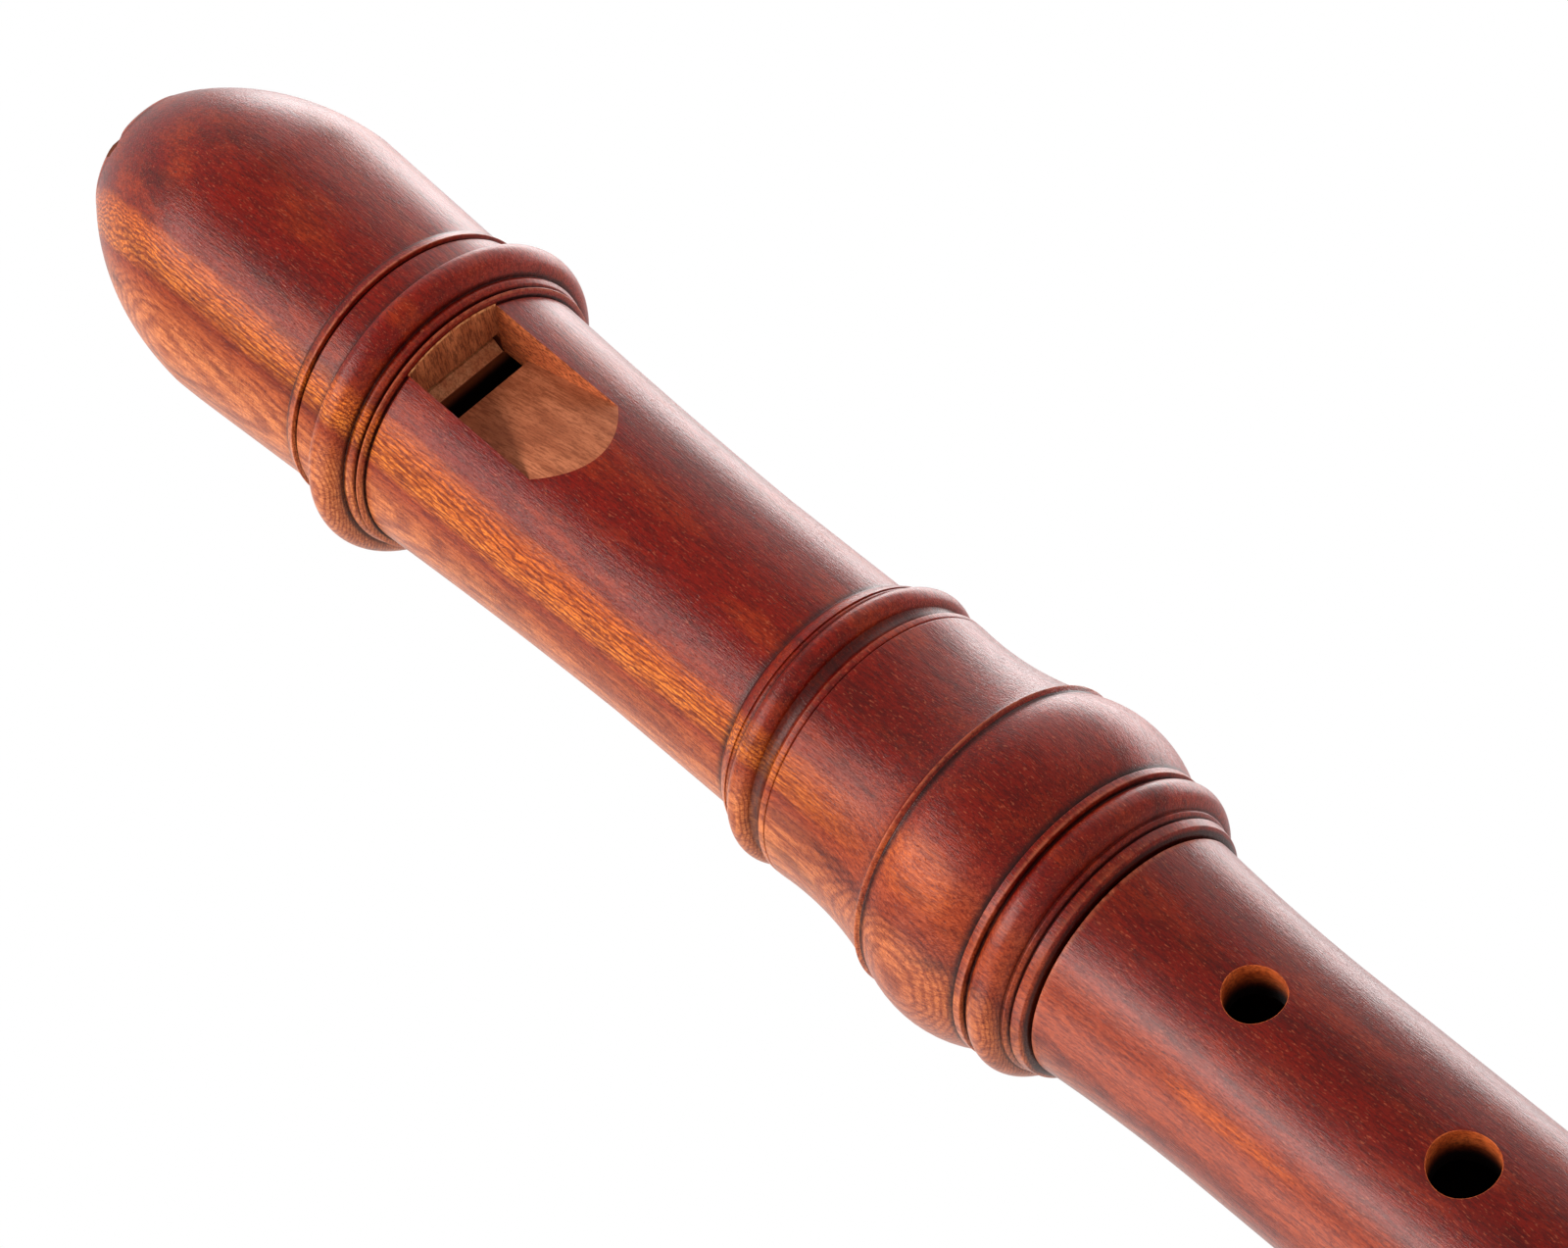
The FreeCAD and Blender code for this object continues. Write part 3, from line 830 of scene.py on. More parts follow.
@dataclass(frozen=True)
class StainedPear(Finish):
    """Pear wood under a red stain and oil, with paler layers on one side of the billet, and painted light:
    sides made lighter where the lamps fall and a painted highlight on the bulb.
    """

    name: str = "stained_pear"

    # Depth in the billet and colour of each layer, above figured_above and below it. The far layers on both
    # sides are lighter partly as the wood's paler layers and partly as painted light where the lamps light
    # those sides.
    layers_and_light: tuple[tuple[float, Colour], ...] = (
        (-14.0, tone(160, 52, 36)),
        (-9.5, tone(146, 41, 27)),
        (-6.5, tone(128, 31, 18)),
        (-1.0, tone(120, 22, 10)),
        (1.5, tone(112, 20, 9)),
        (3.8, tone(124, 36, 20)),
        (4.8, tone(222, 110, 42)),
        (6.9, tone(236, 134, 54)),
        (7.8, tone(148, 58, 31)),
        (8.8, tone(178, 89, 47)),
        (10.5, tone(214, 126, 72)),
        (14.5, tone(206, 122, 74)),
    )
    plain_layers_and_light: tuple[tuple[float, Colour], ...] = (
        (-14.0, tone(156, 50, 36)),
        (-10.5, tone(140, 40, 27)),
        (-7.0, tone(116, 29, 18)),
        (-4.0, tone(106, 22, 13)),
        (0.5, tone(110, 22, 11)),
        (2.0, tone(124, 34, 22)),
        (3.2, tone(138, 50, 34)),
        (4.4, tone(160, 70, 42)),
        (5.4, tone(154, 62, 34)),
        (7.4, tone(166, 72, 38)),
        (8.4, tone(160, 70, 40)),
        (9.5, tone(140, 58, 34)),
        (11.4, tone(200, 112, 64)),
        (14.5, tone(190, 106, 66)),
    )
    figured_above: float = 233.0

    # Heights where two joints meet
    seams: tuple[float, ...] = (86.0, 207.0)

    # Depth, height, half width and half height of each warm flame; the first, on the bulb, is partly a
    # painted highlight where the lamp's glow falls
    flames_and_glow: tuple[tuple[float, float, float, float], ...] = (
        (5.4, 219.2, 3.2, 4.8),
        (5.6, 188.0, 1.2, 9.0),
    )
    # Colour of the flames and of the painted glow on the bulb
    flame_and_glow: Colour = tone(222, 108, 44)

    # Depth that the layers cover, the way to the paler side and the way across the growth rings
    span: float = 32.0
    billet: Point = (-0.9367, 0.3502)
    ring_side: Point = (-0.99, -0.13)
    roughness: float = 0.25
    gloss: float = 0.19
    coat: float = 0.2
    coat_roughness: float = 0.3
    bump: float = 0.26
    warm: Colour = tone(164, 62, 26)
    dark: Colour = tone(58, 12, 10)
    thread: Colour = tone(104, 30, 14)
    fleck: Colour = tone(196, 106, 74)
    groove: Colour = tone(34, 8, 8)
    shade: Colour = tone(160, 96, 84)
    sheen: Colour = tone(255, 232, 226)
    turned: bool = True

    def paint(self, nodes: Nodes) -> None:
        """Add the finish's nodes.

        Args:
            nodes: Builder of the material's tree.
        """
        grain = Grain.of(nodes)
        # Depth in the billet, towards its paler side
        drift = grain.noise(22.0, 70.0, 2.0, 0.5, 3.1) - 0.5
        waver = grain.noise(3.2, 18.0, 3.0, 0.6, 8.4) - 0.5
        depth = grain.along(self.billet) + drift * 4.0 + waver * 2.0
        height = grain.axis("Z")
        figured = (height + drift * 30.0).smooth(self.figured_above - 9.0, self.figured_above + 7.0)
        # Colour of the wood's layers, with painted light on the sides that the lamps light
        plain = self._layer_with_light(nodes, self.plain_layers_and_light, depth)
        wood_and_light = mix(nodes, figured, plain, self._layer_with_light(nodes, self.layers_and_light, depth))
        pale = depth.smooth(3.4, 5.2)
        netted = pale * depth.smooth(8.4, 7.2) * (0.3 + 0.7 * figured)

        # Warm patches and dark streaks where the stain took less or more
        warm = grain.noise(3.4, 14.0, 3.0, 0.6, 1.7).smooth(0.46, 0.68) * (1.0 - pale)
        colour = mix(nodes, warm * (0.3 + 0.25 * figured), wood_and_light, self.warm)
        # Warm flames of the wood; the one on the bulb also paints the lamp's glow there, a painted
        # highlight
        for across, along, half_width, half_height in self.flames_and_glow:
            sideways, upwards = (depth - across) / half_width, (height - along) / half_height
            away = sideways.math("POWER", 2.0) + upwards.math("POWER", 2.0) + waver * 1.6
            colour = mix(nodes, away.smooth(1.0, 0.0) * 0.5, colour, self.flame_and_glow)
        streak = grain.noise(2.6, 30.0, 3.0, 0.6, 12.5).smooth(0.52, 0.72)
        colour = mix(nodes, streak * 0.5, colour, self.dark)

        # Fine growth lines, a net of rays in the pale layer and cross figure beyond it
        rings = grain.along(self.ring_side) + waver * 0.6
        line = (rings * 24.0).math("SINE").smooth(-0.3, 1.0)
        colour = mix(nodes, line * (0.14 + 0.4 * depth.smooth(8.0, 9.6)), colour, self.shade, "MULTIPLY")
        push = grain.noise(0.5, 1.6, 2.0, 0.6, 2.2)
        net = grain.net(0.22, 1.7, 0.24, push * 0.24)
        ripple = (depth * 18.0 + push * 9.5).math("SINE").smooth(-0.1, 0.6)
        colour = mix(nodes, net * (0.1 + 0.35 * netted), colour, self.thread)
        colour = mix(nodes, ripple * netted * 0.7, colour, self.thread)
        cross = grain.laid(Sawn.END).noise(0.2, 1.3, 2.0, 0.6, 5.5).smooth(0.5, 0.62)
        colour = mix(nodes, cross * 0.3 * depth.smooth(8.0, 9.5), colour, self.shade, "MULTIPLY")

        # Grain under the fingertip: strokes, pores and pale flecks
        fine = grain.noise(0.3, 2.2, 3.0, 0.7, 5.3)
        speck = grain.noise(0.1, 0.36, 2.0, 0.7, 7.7)
        colour = mix(nodes, fine.smooth(0.4, 0.64) * 0.65, colour, self.shade, "MULTIPLY")
        colour = mix(nodes, speck.smooth(0.46, 0.7) * 0.7, colour, self.shade, "MULTIPLY")
        fleck = grain.noise(0.12, 0.5, 1.0, 0.5, 9.9).smooth(0.6, 0.76)
        colour = mix(nodes, fleck * 0.28, colour, self.fleck)
        pore = grain.noise(0.17, 0.5, 1.0, 0.5, 16.6).smooth(0.7, 0.78)
        colour = mix(nodes, pore * 0.7, colour, self.dark)

        if self.turned:
            colour = self._gathered_and_shaded(grain, colour)
        rough = fine * 0.5 + speck * 0.9 - pore * 1.2 - net * 0.25
        inputs = {
            "Base Color": colour,
            "Roughness": self.roughness + 0.1 * speck + 0.04 * warm,
            "Specular IOR Level": self.gloss,
            "Specular Tint": self.sheen,
            "Coat Weight": height.smooth(216.0, 200.0) * depth.smooth(-3.0, 1.5) * self.coat,
            "Coat Roughness": self.coat_roughness,
        }
        nodes.surface(inputs, rough, self.bump, 0.1)

    def _gathered_and_shaded(self, grain: Grain, colour: bpy.types.NodeSocket) -> bpy.types.NodeSocket:
        """Let stain gather in the grooves and at the seams, paint shade into the grooves and over the
        flanks of the beads, and rub the stain thin on sharp rims.

        Args:
            grain: Places in the wood.
            colour: The wood's colour.

        Returns:
            The colour with darker grooves and paler rims.
        """
        nodes = grain.nodes
        relief = nodes.value("ShaderNodeAttribute", {"attribute_name": "relief"}, None, "Fac")
        patchy = grain.noise(0.5, 0.8, 2.0, 0.6, 4.4).smooth(0.25, 0.6)
        # Grooves and bead flanks darken: partly stain that gathers there, partly painted shade
        colour = mix(nodes, relief.smooth(0.06, -0.16) * 0.3, colour, self.groove)
        colour = mix(nodes, relief.smooth(-0.03, -0.22) * (0.6 + 0.35 * patchy), colour, self.groove)
        colour = mix(nodes, relief.smooth(0.1, 0.28) * 0.42 * patchy, colour, self.fleck)
        for seam in self.seams:
            near = abs(grain.axis("Z") - seam).smooth(0.24, 0.1)
            colour = mix(nodes, near * 0.85, colour, self.groove)
        return colour

    def _layer_with_light(
        self, nodes: Nodes, layers_and_light: Sequence[tuple[float, Colour]], depth: Value
    ) -> bpy.types.NodeSocket:
        """Give the wood's colour, with its painted light, at a depth in the billet.

        Args:
            nodes: Builder of the material's tree.
            layers_and_light: Depth and colour of each layer, with its painted light.
            depth: Depth in the billet, in millimetres.

        Returns:
            The colour.
        """
        stops = [(place / self.span + 0.5, colour) for place, colour in layers_and_light]
        ramp = nodes.node("ShaderNodeValToRGB", {"stops": stops}, {"Fac": depth / self.span + 0.5})
        return ramp.outputs["Color"]


@dataclass(frozen=True)
class BareWood(Finish):
    """Wood that was cut after staining, or never stained."""

    name: str = "bare_pear"
    low: Colour = tone(146, 79, 51)
    high: Colour = tone(182, 107, 73)
    line: Colour = tone(98, 46, 24)
    stroke: tuple[float, float] = (0.22, 1.6)
    contrast: float = 0.6
    rough: float = 0.6
    bump: float = 0.25
    sawn: Sawn = Sawn.SIDE
    speckle: float = 0.35
    gloss: float = 0.2

    def paint(self, nodes: Nodes) -> None:
        """Add the finish's nodes.

        Args:
            nodes: Builder of the material's tree.
        """
        plain = Grain.of(nodes)
        grain = plain.laid(self.sawn)
        broad = grain.noise(1.3, 7.0, 3.0, 0.6, 2.6)
        fine = grain.noise(*self.stroke, 3.0, 0.65, 4.9)
        speck = grain.noise(0.13, 0.24, 2.0, 0.6, 1.3)
        colour = mix(nodes, broad.smooth(0.32, 0.68), self.low, self.high)
        colour = mix(nodes, fine.smooth(0.44, 0.62) * self.contrast, colour, self.line)
        colour = mix(nodes, speck.smooth(0.5, 0.7) * self.speckle, colour, self.line)
        colour = self.marks_and_painted_light(plain, colour)
        inputs = {"Base Color": colour, "Roughness": self.rough, "Specular IOR Level": self.gloss}
        nodes.surface(inputs, fine + speck * 0.5, self.bump, 0.15)

    def marks_and_painted_light(self, grain: Grain, colour: bpy.types.NodeSocket) -> bpy.types.NodeSocket:
        """Change the wood's colour for its marks and for painted light and shade."""
        return colour


@dataclass(frozen=True)
class EndGrain(BareWood):
    """Cut end of the wood, with a painted highlight along its outer edge."""

    # Radius of the outer edge and colour of the painted highlight along it
    edge_radius: float = 0.0
    edge: Colour = tone(226, 158, 104)

    def marks_and_painted_light(self, grain: Grain, colour: bpy.types.NodeSocket) -> bpy.types.NodeSocket:
        """Paint a highlight along the outer edge."""
        # Painted highlight on the outer edge of the end face, broken up by noise
        near = grain.radius().smooth(self.edge_radius - 0.28, self.edge_radius - 0.1)
        return mix(grain.nodes, near * grain.noise(0.5, 0.5).smooth(0.3, 0.6), colour, self.edge)


@dataclass(frozen=True)
class DeepWood(BareWood):
    """Wood with painted shade that deepens towards the bore, as in a drilled hole."""

    bright_radius: float = 9.9
    dark_radius: float = 6.9
    # Colour of the painted shade deep in the hole
    painted_shade: Colour = tone(18, 6, 3)

    def marks_and_painted_light(self, grain: Grain, colour: bpy.types.NodeSocket) -> bpy.types.NodeSocket:
        """Paint shade on the wood, darker towards the bore."""
        # Painted shade: the wall darkens from bright_radius to dark_radius
        shade_share = grain.radius().smooth(self.bright_radius, self.dark_radius)
        return mix(grain.nodes, shade_share, colour, self.painted_shade)


@dataclass(frozen=True)
class BlockWood(BareWood):
    """Cedar with painted shade on its end face towards the window, darkest deep in the bore, and a darker
    windway floor at the mouth.
    """

    face_height: float = 0.0
    face_front: float = 0.0
    # Colours of the painted shade on the end face and deep in the bore, and of the darker mouth
    shaded_face: Colour = tone(124, 62, 38)
    painted_shade: Colour = tone(22, 9, 5)
    mouth_height: float = 0.0
    mouth_dark: Colour = tone(84, 34, 22)

    def marks_and_painted_light(self, grain: Grain, colour: bpy.types.NodeSocket) -> bpy.types.NodeSocket:
        """Paint shade on the end face below the chamfer, and darken the floor of the windway at the mouth.

        Args:
            grain: Places in the wood.
            colour: The wood's colour.

        Returns:
            The colour with its painted shade and darker mouth.
        """
        front = grain.axis("Y") * -1.0
        face = grain.axis("Z").smooth(self.face_height + 0.2, self.face_height)
        # Painted shade on the end face, striped by its grain and darker still deep inside the bore
        stripes = grain.noise(0.22, 3.0, 2.0, 0.6, 4.4).smooth(0.4, 0.6) * 0.5
        shaded_face = mix(grain.nodes, stripes, self.shaded_face, self.line)
        shaded_face = mix(grain.nodes, front.smooth(self.face_front - 0.3, self.face_front - 1.6), shaded_face, self.painted_shade)
        shown = front.smooth(self.face_front + 0.05, self.face_front) * face
        colour = mix(grain.nodes, shown, colour, shaded_face)
        # Darker floor of the windway at the mouth
        mouth = grain.axis("Z").smooth(self.mouth_height - 7.0, self.mouth_height - 4.0)
        return mix(grain.nodes, mouth * front.smooth(3.6, 4.6) * 0.9, colour, self.mouth_dark)


@dataclass(frozen=True)
class CorkFinish(Finish):
    """Greased cork: pale brown grains with dark pits."""

    name: str = "cork"
    pale: Colour = tone(190, 146, 98)
    dark: Colour = tone(112, 72, 42)
    rough: float = 0.62
    bump: float = 0.4

    def paint(self, nodes: Nodes) -> None:
        """Add the finish's nodes.

        Args:
            nodes: Builder of the material's tree.
        """
        grain = Grain.of(nodes)
        grains = {"Vector": grain.place, "Scale": 1.4}
        cells = nodes.value("ShaderNodeTexVoronoi", {"feature": "F1"}, grains, "Distance")
        pits = grain.noise(0.8, 0.8, 3.0, 0.6, 3.3)
        mixed = (cells * 0.7 + pits * 0.6).smooth(0.3, 0.85)
        colour = mix(nodes, mixed, self.dark, self.pale)
        nodes.surface({"Base Color": colour, "Roughness": self.rough}, mixed, self.bump, 0.2)


@dataclass(frozen=True)
class FloorFinish(Finish):
    """Plain pale floor that fades out into the white around it."""

    name: str = "floor"
    tone: Colour = tone(206, 205, 203)
    fade_from: float = 0.35
    fade_to: float = 1.14

    def paint(self, nodes: Nodes) -> None:
        """Add the finish's nodes."""
        fade = (Grain.of(nodes).radius() * MM).smooth(self.fade_to, self.fade_from)
        nodes.surface({"Base Color": self.tone, "Roughness": 0.8, "Alpha": fade})


@dataclass(frozen=True)
class Finishes:
    """All finishes of the recorder."""

    stained: bpy.types.Material
    hollow: bpy.types.Material
    bore: bpy.types.Material
    ramp: bpy.types.Material
    wall: bpy.types.Material
    windway: bpy.types.Material
    end: bpy.types.Material
    hole: bpy.types.Material
    cedar: bpy.types.Material
    cork: bpy.types.Material

    @classmethod
    def make(cls, window_radius: float, window_top: float, block_floor: float, tip: float) -> "Finishes":
        """Make every material once.

        Args:
            window_radius: Outside radius at the window's upper end.
            window_top: Height of the window's upper end.
            block_floor: Distance of the block's chamfered edge from the bore's middle.
            tip: Height of the beak's tip.

        Returns:
            The materials.
        """
        wall = BareWood(
            "bare_pear_wall",
            tone(166, 80, 46),
            tone(204, 108, 62),
            tone(86, 34, 16),
            stroke=(0.17, 0.55),
            contrast=0.8,
            rough=0.6,
            bump=0.9,
        )
        end = EndGrain(
            "bare_pear_end",
            tone(162, 86, 52),
            tone(192, 110, 70),
            tone(66, 26, 14),
            stroke=(0.14, 1.1),
            contrast=0.62,
            rough=0.65,
            bump=0.6,
            sawn=Sawn.END,
            edge_radius=window_radius,
        )
        ramp = BareWood("bare_pear_ramp", stroke=(0.15, 1.5), contrast=0.55, sawn=Sawn.RAMP, speckle=0.3)
        hole = DeepWood(
            "hole_wall", tone(176, 78, 36), tone(212, 104, 52), tone(86, 28, 12), stroke=(0.22, 0.9)
        )
        windway = BareWood("windway", tone(84, 36, 22), tone(106, 48, 30), tone(56, 22, 14))
        bore = BareWood("bore", tone(34, 16, 10), tone(44, 21, 13), tone(24, 11, 7), bump=0.1)
        cedar = BlockWood(
            "cedar",
            tone(202, 114, 72),
            tone(226, 146, 98),
            tone(146, 70, 42),
            stroke=(0.2, 3.0),
            contrast=0.5,
            rough=0.55,
            bump=0.15,
            face_height=window_top,
            face_front=block_floor,
            mouth_height=tip,
        )
        return cls(
            stained=StainedPear().material(),
            hollow=StainedPear("stained_hollow", turned=False).material(),
            bore=bore.material(),
            ramp=ramp.material(),
            wall=wall.material(),
            windway=windway.material(),
            end=end.material(),
            hole=hole.material(),
            cedar=cedar.material(),
            cork=CorkFinish().material(),
        )


@dataclass(frozen=True)
class SmallWork:
    """Fine turned work that all three joints share."""

    bead: float = 0.8
    groove: float = 0.7
    groove_depth: float = 0.4
    narrow: float = 0.35
    rise: float = 0.16
    softness: float = 0.1
    socket_lead: float = 0.4
    lip_ring: float = 0.7
    fine_ring: float = 0.45
    lip_flat: float = 0.8
    lip_band: float = 0.75
    lip_chamfer: float = 0.3
    rim_round: float = 0.06
    rim_turn: float = 80.0
    rim_steps: int = 5
    hole_sides: int = 72
    overrun: float = 2.0

    def hole(
        self,
        cutter: Cutter,
        height: float,
        diameter: float,
        surface: Callable[[float], float],
        facing: Facing = Facing.FRONT,
    ) -> None:
        """Add a finger hole whose rim is rounded over.

        Args:
            cutter: Cutter to add to.
            height: Height of the hole's middle.
            diameter: Its diameter.
            surface: Gives the outside radius at a height.
            facing: Side on which it opens.
        """

        def ring(radius: float, depth: float | None) -> list[Vector]:
            """Give the rim's points at a depth over the surface, or flat inside the bore.

            Args:
                radius: Radius of the ring.
                depth: How far it stands proud of the surface, or None in the bore.

            Returns:
                The points.
            """
            points = []
            for x, upward in circle(radius, self.hole_sides):
                z = height + upward
                outside = math.sqrt(surface(z) ** 2 - x * x)
                reach = 0.0 if depth is None else outside + depth
                points.append(Vector((x, facing.value * reach, z)))
            return points

        bore, rim = diameter / 2, self.rim_round
        rings = [ring(bore, None), ring(bore, -2 * rim)]
        for step in range(1, self.rim_steps + 1):
            turn = math.radians(self.rim_turn) * step / self.rim_steps
            edge = bore + rim * (1 - math.cos(turn))
            rings.append(ring(edge, rim * (math.sin(turn) - 1)))
        rings += [ring(edge + rim, rim / 4), ring(edge + rim, self.overrun)]
        cutter.loft(rings)


@dataclass(frozen=True)
class Heights:
    """Heights that the joints share, worked out from their lengths."""

    foot_length: float = 86.0
    middle_length: float = 121.0
    lip_length: float = 4.9
    bulb_length: float = 10.9
    flare_length: float = 11.8
    collar_length: float = 6.5
    neck_length: float = 41.9
    crown_length: float = 7.9
    beak_length: float = 34.1
    upper_socket_depth: float = 22.5
    lower_socket_depth: float = 13.5
    upper_socket_radius: float = 9.2
    lower_socket_radius: float = 8.3
    tenon_clearance: float = 0.2
    tenon_end_gap: float = 0.5
    seam_gap: float = 0.25

    @property
    def head_end(self) -> float:
        """Lower end of the head joint."""
        return self.foot_length + self.middle_length

    @property
    def bulb_end(self) -> float:
        """Lower end of the head joint's bulb."""
        return self.head_end + self.lip_length

    @property
    def flare_end(self) -> float:
        """Top of the bulb."""
        return self.bulb_end + self.bulb_length

    @property
    def flare_top(self) -> float:
        """Top of the hollow flare."""
        return self.flare_end + self.flare_length

    @property
    def collar_top(self) -> float:
        """Top of the collar, where the neck starts."""
        return self.flare_top + self.collar_length

    @property
    def neck_top(self) -> float:
        """Top of the neck, where the window is cut."""
        return self.collar_top + self.neck_length

    @property
    def crown_top(self) -> float:
        """Top of the rings above the window."""
        return self.neck_top + self.crown_length

    @property
    def tip(self) -> float:
        """Tip of the beak."""
        return self.crown_top + self.beak_length

    @property
    def upper_tenon_top(self) -> float:
        """Top of the tenon inside the head joint."""
        return self.head_end + self.upper_socket_depth - self.tenon_end_gap

    @property
    def lower_tenon_end(self) -> float:
        """Lower end of the tenon inside the foot joint."""
        return self.foot_length - self.lower_socket_depth + self.tenon_end_gap

    @property
    def upper_tenon_radius(self) -> float:
        """Radius of the upper tenon."""
        return self.upper_socket_radius - self.tenon_clearance

    @property
    def lower_tenon_radius(self) -> float:
        """Radius of the lower tenon."""
        return self.lower_socket_radius - self.tenon_clearance


@dataclass(frozen=True)
class Voicing:
    """Windway, window, labium and block: the parts that make the tone."""

    bore_radius: float = 6.6
    mouth_half_width: float = 4.7
    exit_half_width: float = 4.2
    mouth_roof: float = 6.8
    mouth_ease: float = 0.9
    exit_ease: float = 0.1
    exit_roof: float = 7.1
    exit_height: float = 1.05
    windway_chamfer: float = 0.5
    surface_half_width: float = 4.8
    edge_half_width: float = 4.3
    window_height: float = 3.4
    labium_height: float = 6.7
    ramp_length: float = 17.0
    ramp_end_half_width: float = 4.9
    undercut_length: float = 8.0
    undercut_depth: float = 1.7
    block_chamfer: float = 0.9
    heel_length: float = 4.9
    cut_hollow: float = 4.3
    tip_thickness: float = 10.6
    edge_round: float = 0.9


@dataclass(frozen=True)
class HeadJoint:
    """Head joint: beak, rings, window, neck, collar, flare and the bulb over the socket."""

    at: Heights
    work: SmallWork
    voicing: Voicing
    tip_ease_radius: float = 7.4
    tip_corner_radius: float = 9.25
    beak_radius: float = 13.25
    beak_end_radius: float = 12.5
    beak_lip_radius: float = 12.85
    crown_band_radius: float = 12.6
    crown_rim_radius: float = 14.2
    crown_foot_radius: float = 12.85
    neck_top_radius: float = 11.85
    neck_waist_radius: float = 10.8
    collar_ramp_radius: float = 11.9
    collar_ring_radius: float = 12.05
    collar_rim_radius: float = 12.3
    collar_bead_radius: float = 12.75
    flare_top_radius: float = 12.32
    flare_end_radius: float = 13.45
    bulb_end_radius: float = 12.95
    bulb_radius: float = 14.5
    lip_ring_radius: float = 13.15
    lip_bead_radius: float = 13.4
    lip_edge_radius: float = 10.95
    tip_dome: float = 0.45
    tip_ease_drop: float = 1.3
    tip_ease_rise: float = 0.1
    tip_corner_drop: float = 4.0
    tip_corner_rise: float = 0.05
    shoulder_drop: float = 17.5
    shoulder_rise: float = 0.9
    beak_roll: float = 1.2
    crown_cove: float = 1.2
    crown_cove_hollow: float = 0.25
    crown_bead: float = 2.65
    crown_bead_rise: float = 0.83
    waist_drop: float = 28.0
    neck_hollow: float = 0.15
    collar_ramp: float = 1.45
    collar_ramp_rise: float = 0.12
    collar_ring: float = 0.6
    collar_bead: float = 2.1
    collar_cove_hollow: float = 0.35
    collar_band: float = 0.55
    flare_hollow: float = 0.55
    cut_rings: int = 96
    cut_steps: int = 8

    def outline(self) -> Outline:
        """Draw the section, down the outside and up the bore.

        Returns:
            The section, with its corners softened.
        """
        at, work = self.at, self.work
        bore = self.voicing.bore_radius
        line = Outline(bore, at.tip - self.tip_dome - work.rise / 2)
        self._draw_beak(line)
        self._draw_crown(line)
        line.bow(self.neck_waist_radius, at.neck_top - self.waist_drop, -self.neck_hollow)
        line.line(self.neck_waist_radius + work.rise / 2, at.collar_top)
        self._draw_collar(line)
        line.bow(self.flare_end_radius, at.flare_end + work.bead / 2, -self.flare_hollow)
        line.ridge(self.flare_end_radius + work.rise, at.flare_end - work.bead / 2, work.bead / 2)
        self._draw_bulb(line)

        # Socket and bore
        socket, bottom = at.upper_socket_radius, at.head_end + at.upper_socket_depth
        line.line(socket + work.socket_lead, at.head_end).bare()
        line.lines((socket, at.head_end + work.socket_lead), (socket, bottom), (bore, bottom))
        line.step = LONG_STEP
        line.line(bore, at.tip - self.tip_dome - work.rise)
        return line.softened(work.softness)

    def _draw_beak(self, line: Outline) -> None:
        """Draw the beak with its eased tip, its soft roll and the groove under it.

        Args:
            line: Section to draw on.
        """
        at, work = self.at, self.work
        line.bow(self.tip_ease_radius, at.tip - self.tip_ease_drop, self.tip_ease_rise)
        line.bow(self.tip_corner_radius, at.tip - self.tip_corner_drop, self.tip_corner_rise)
        line.bow(self.beak_radius, at.tip - self.shoulder_drop, self.shoulder_rise)
        line.line(self.beak_end_radius, at.crown_top + self.beak_roll)
        line.line(self.beak_lip_radius, at.crown_top + work.narrow / 2)
        line.ridge(self.crown_band_radius, at.crown_top - work.narrow / 2, -work.groove_depth)

    def _draw_crown(self, line: Outline) -> None:
        """Draw the flat band, the large bead with its sharp rim and the two fine beads.

        Args:
            line: Section to draw on.
        """
        at, work = self.at, self.work
        bead_end = at.neck_top + 2 * work.bead
        rim = bead_end + self.crown_bead
        foot = self.crown_foot_radius
        line.line(self.crown_band_radius, rim + self.crown_cove)
        line.bow(self.crown_rim_radius, rim, -self.crown_cove_hollow)
        line.bow(foot, bead_end, self.crown_bead_rise)
        line.line(foot - work.rise, bead_end)
        line.ridge(foot - work.rise * 2, at.neck_top + work.bead, work.rise)
        line.ridge(foot - work.rise * 3, at.neck_top + work.bead - work.narrow, -work.groove_depth)
        line.ridge(self.neck_top_radius + work.rise, at.neck_top, work.rise * 2)
        line.line(self.neck_top_radius - work.rise, at.neck_top)
        line.line(self.neck_top_radius, at.neck_top - work.narrow / 2)

    def _draw_collar(self, line: Outline) -> None:
        """Draw the collar: a ramp, a fine ring, a bead, a cove and a flat band.

        Args:
            line: Section to draw on.
        """
        at, work = self.at, self.work
        ring_top = at.collar_top - self.collar_ramp
        ring_end = ring_top - self.collar_ring
        bead_top = ring_end - work.narrow / 2
        band_end = at.flare_top + work.narrow / 2
        chord = (self.collar_rim_radius + self.collar_ramp_radius) / 2
        line.bow(self.collar_ramp_radius, ring_top, self.collar_ramp_rise)
        line.line(self.collar_ramp_radius - work.rise, ring_top)
        line.ridge(self.collar_ring_radius - work.rise, ring_end, work.rise)
        line.line(self.collar_rim_radius, bead_top)
        line.bow(self.collar_ramp_radius, bead_top - self.collar_bead, self.collar_bead_radius - chord)
        line.bow(self.flare_top_radius - work.rise, band_end + self.collar_band, -self.collar_cove_hollow)
        line.line(self.flare_top_radius, band_end + self.collar_band)
        line.line(self.flare_top_radius, band_end)
        line.ridge(self.flare_top_radius, at.flare_top, -work.rise)

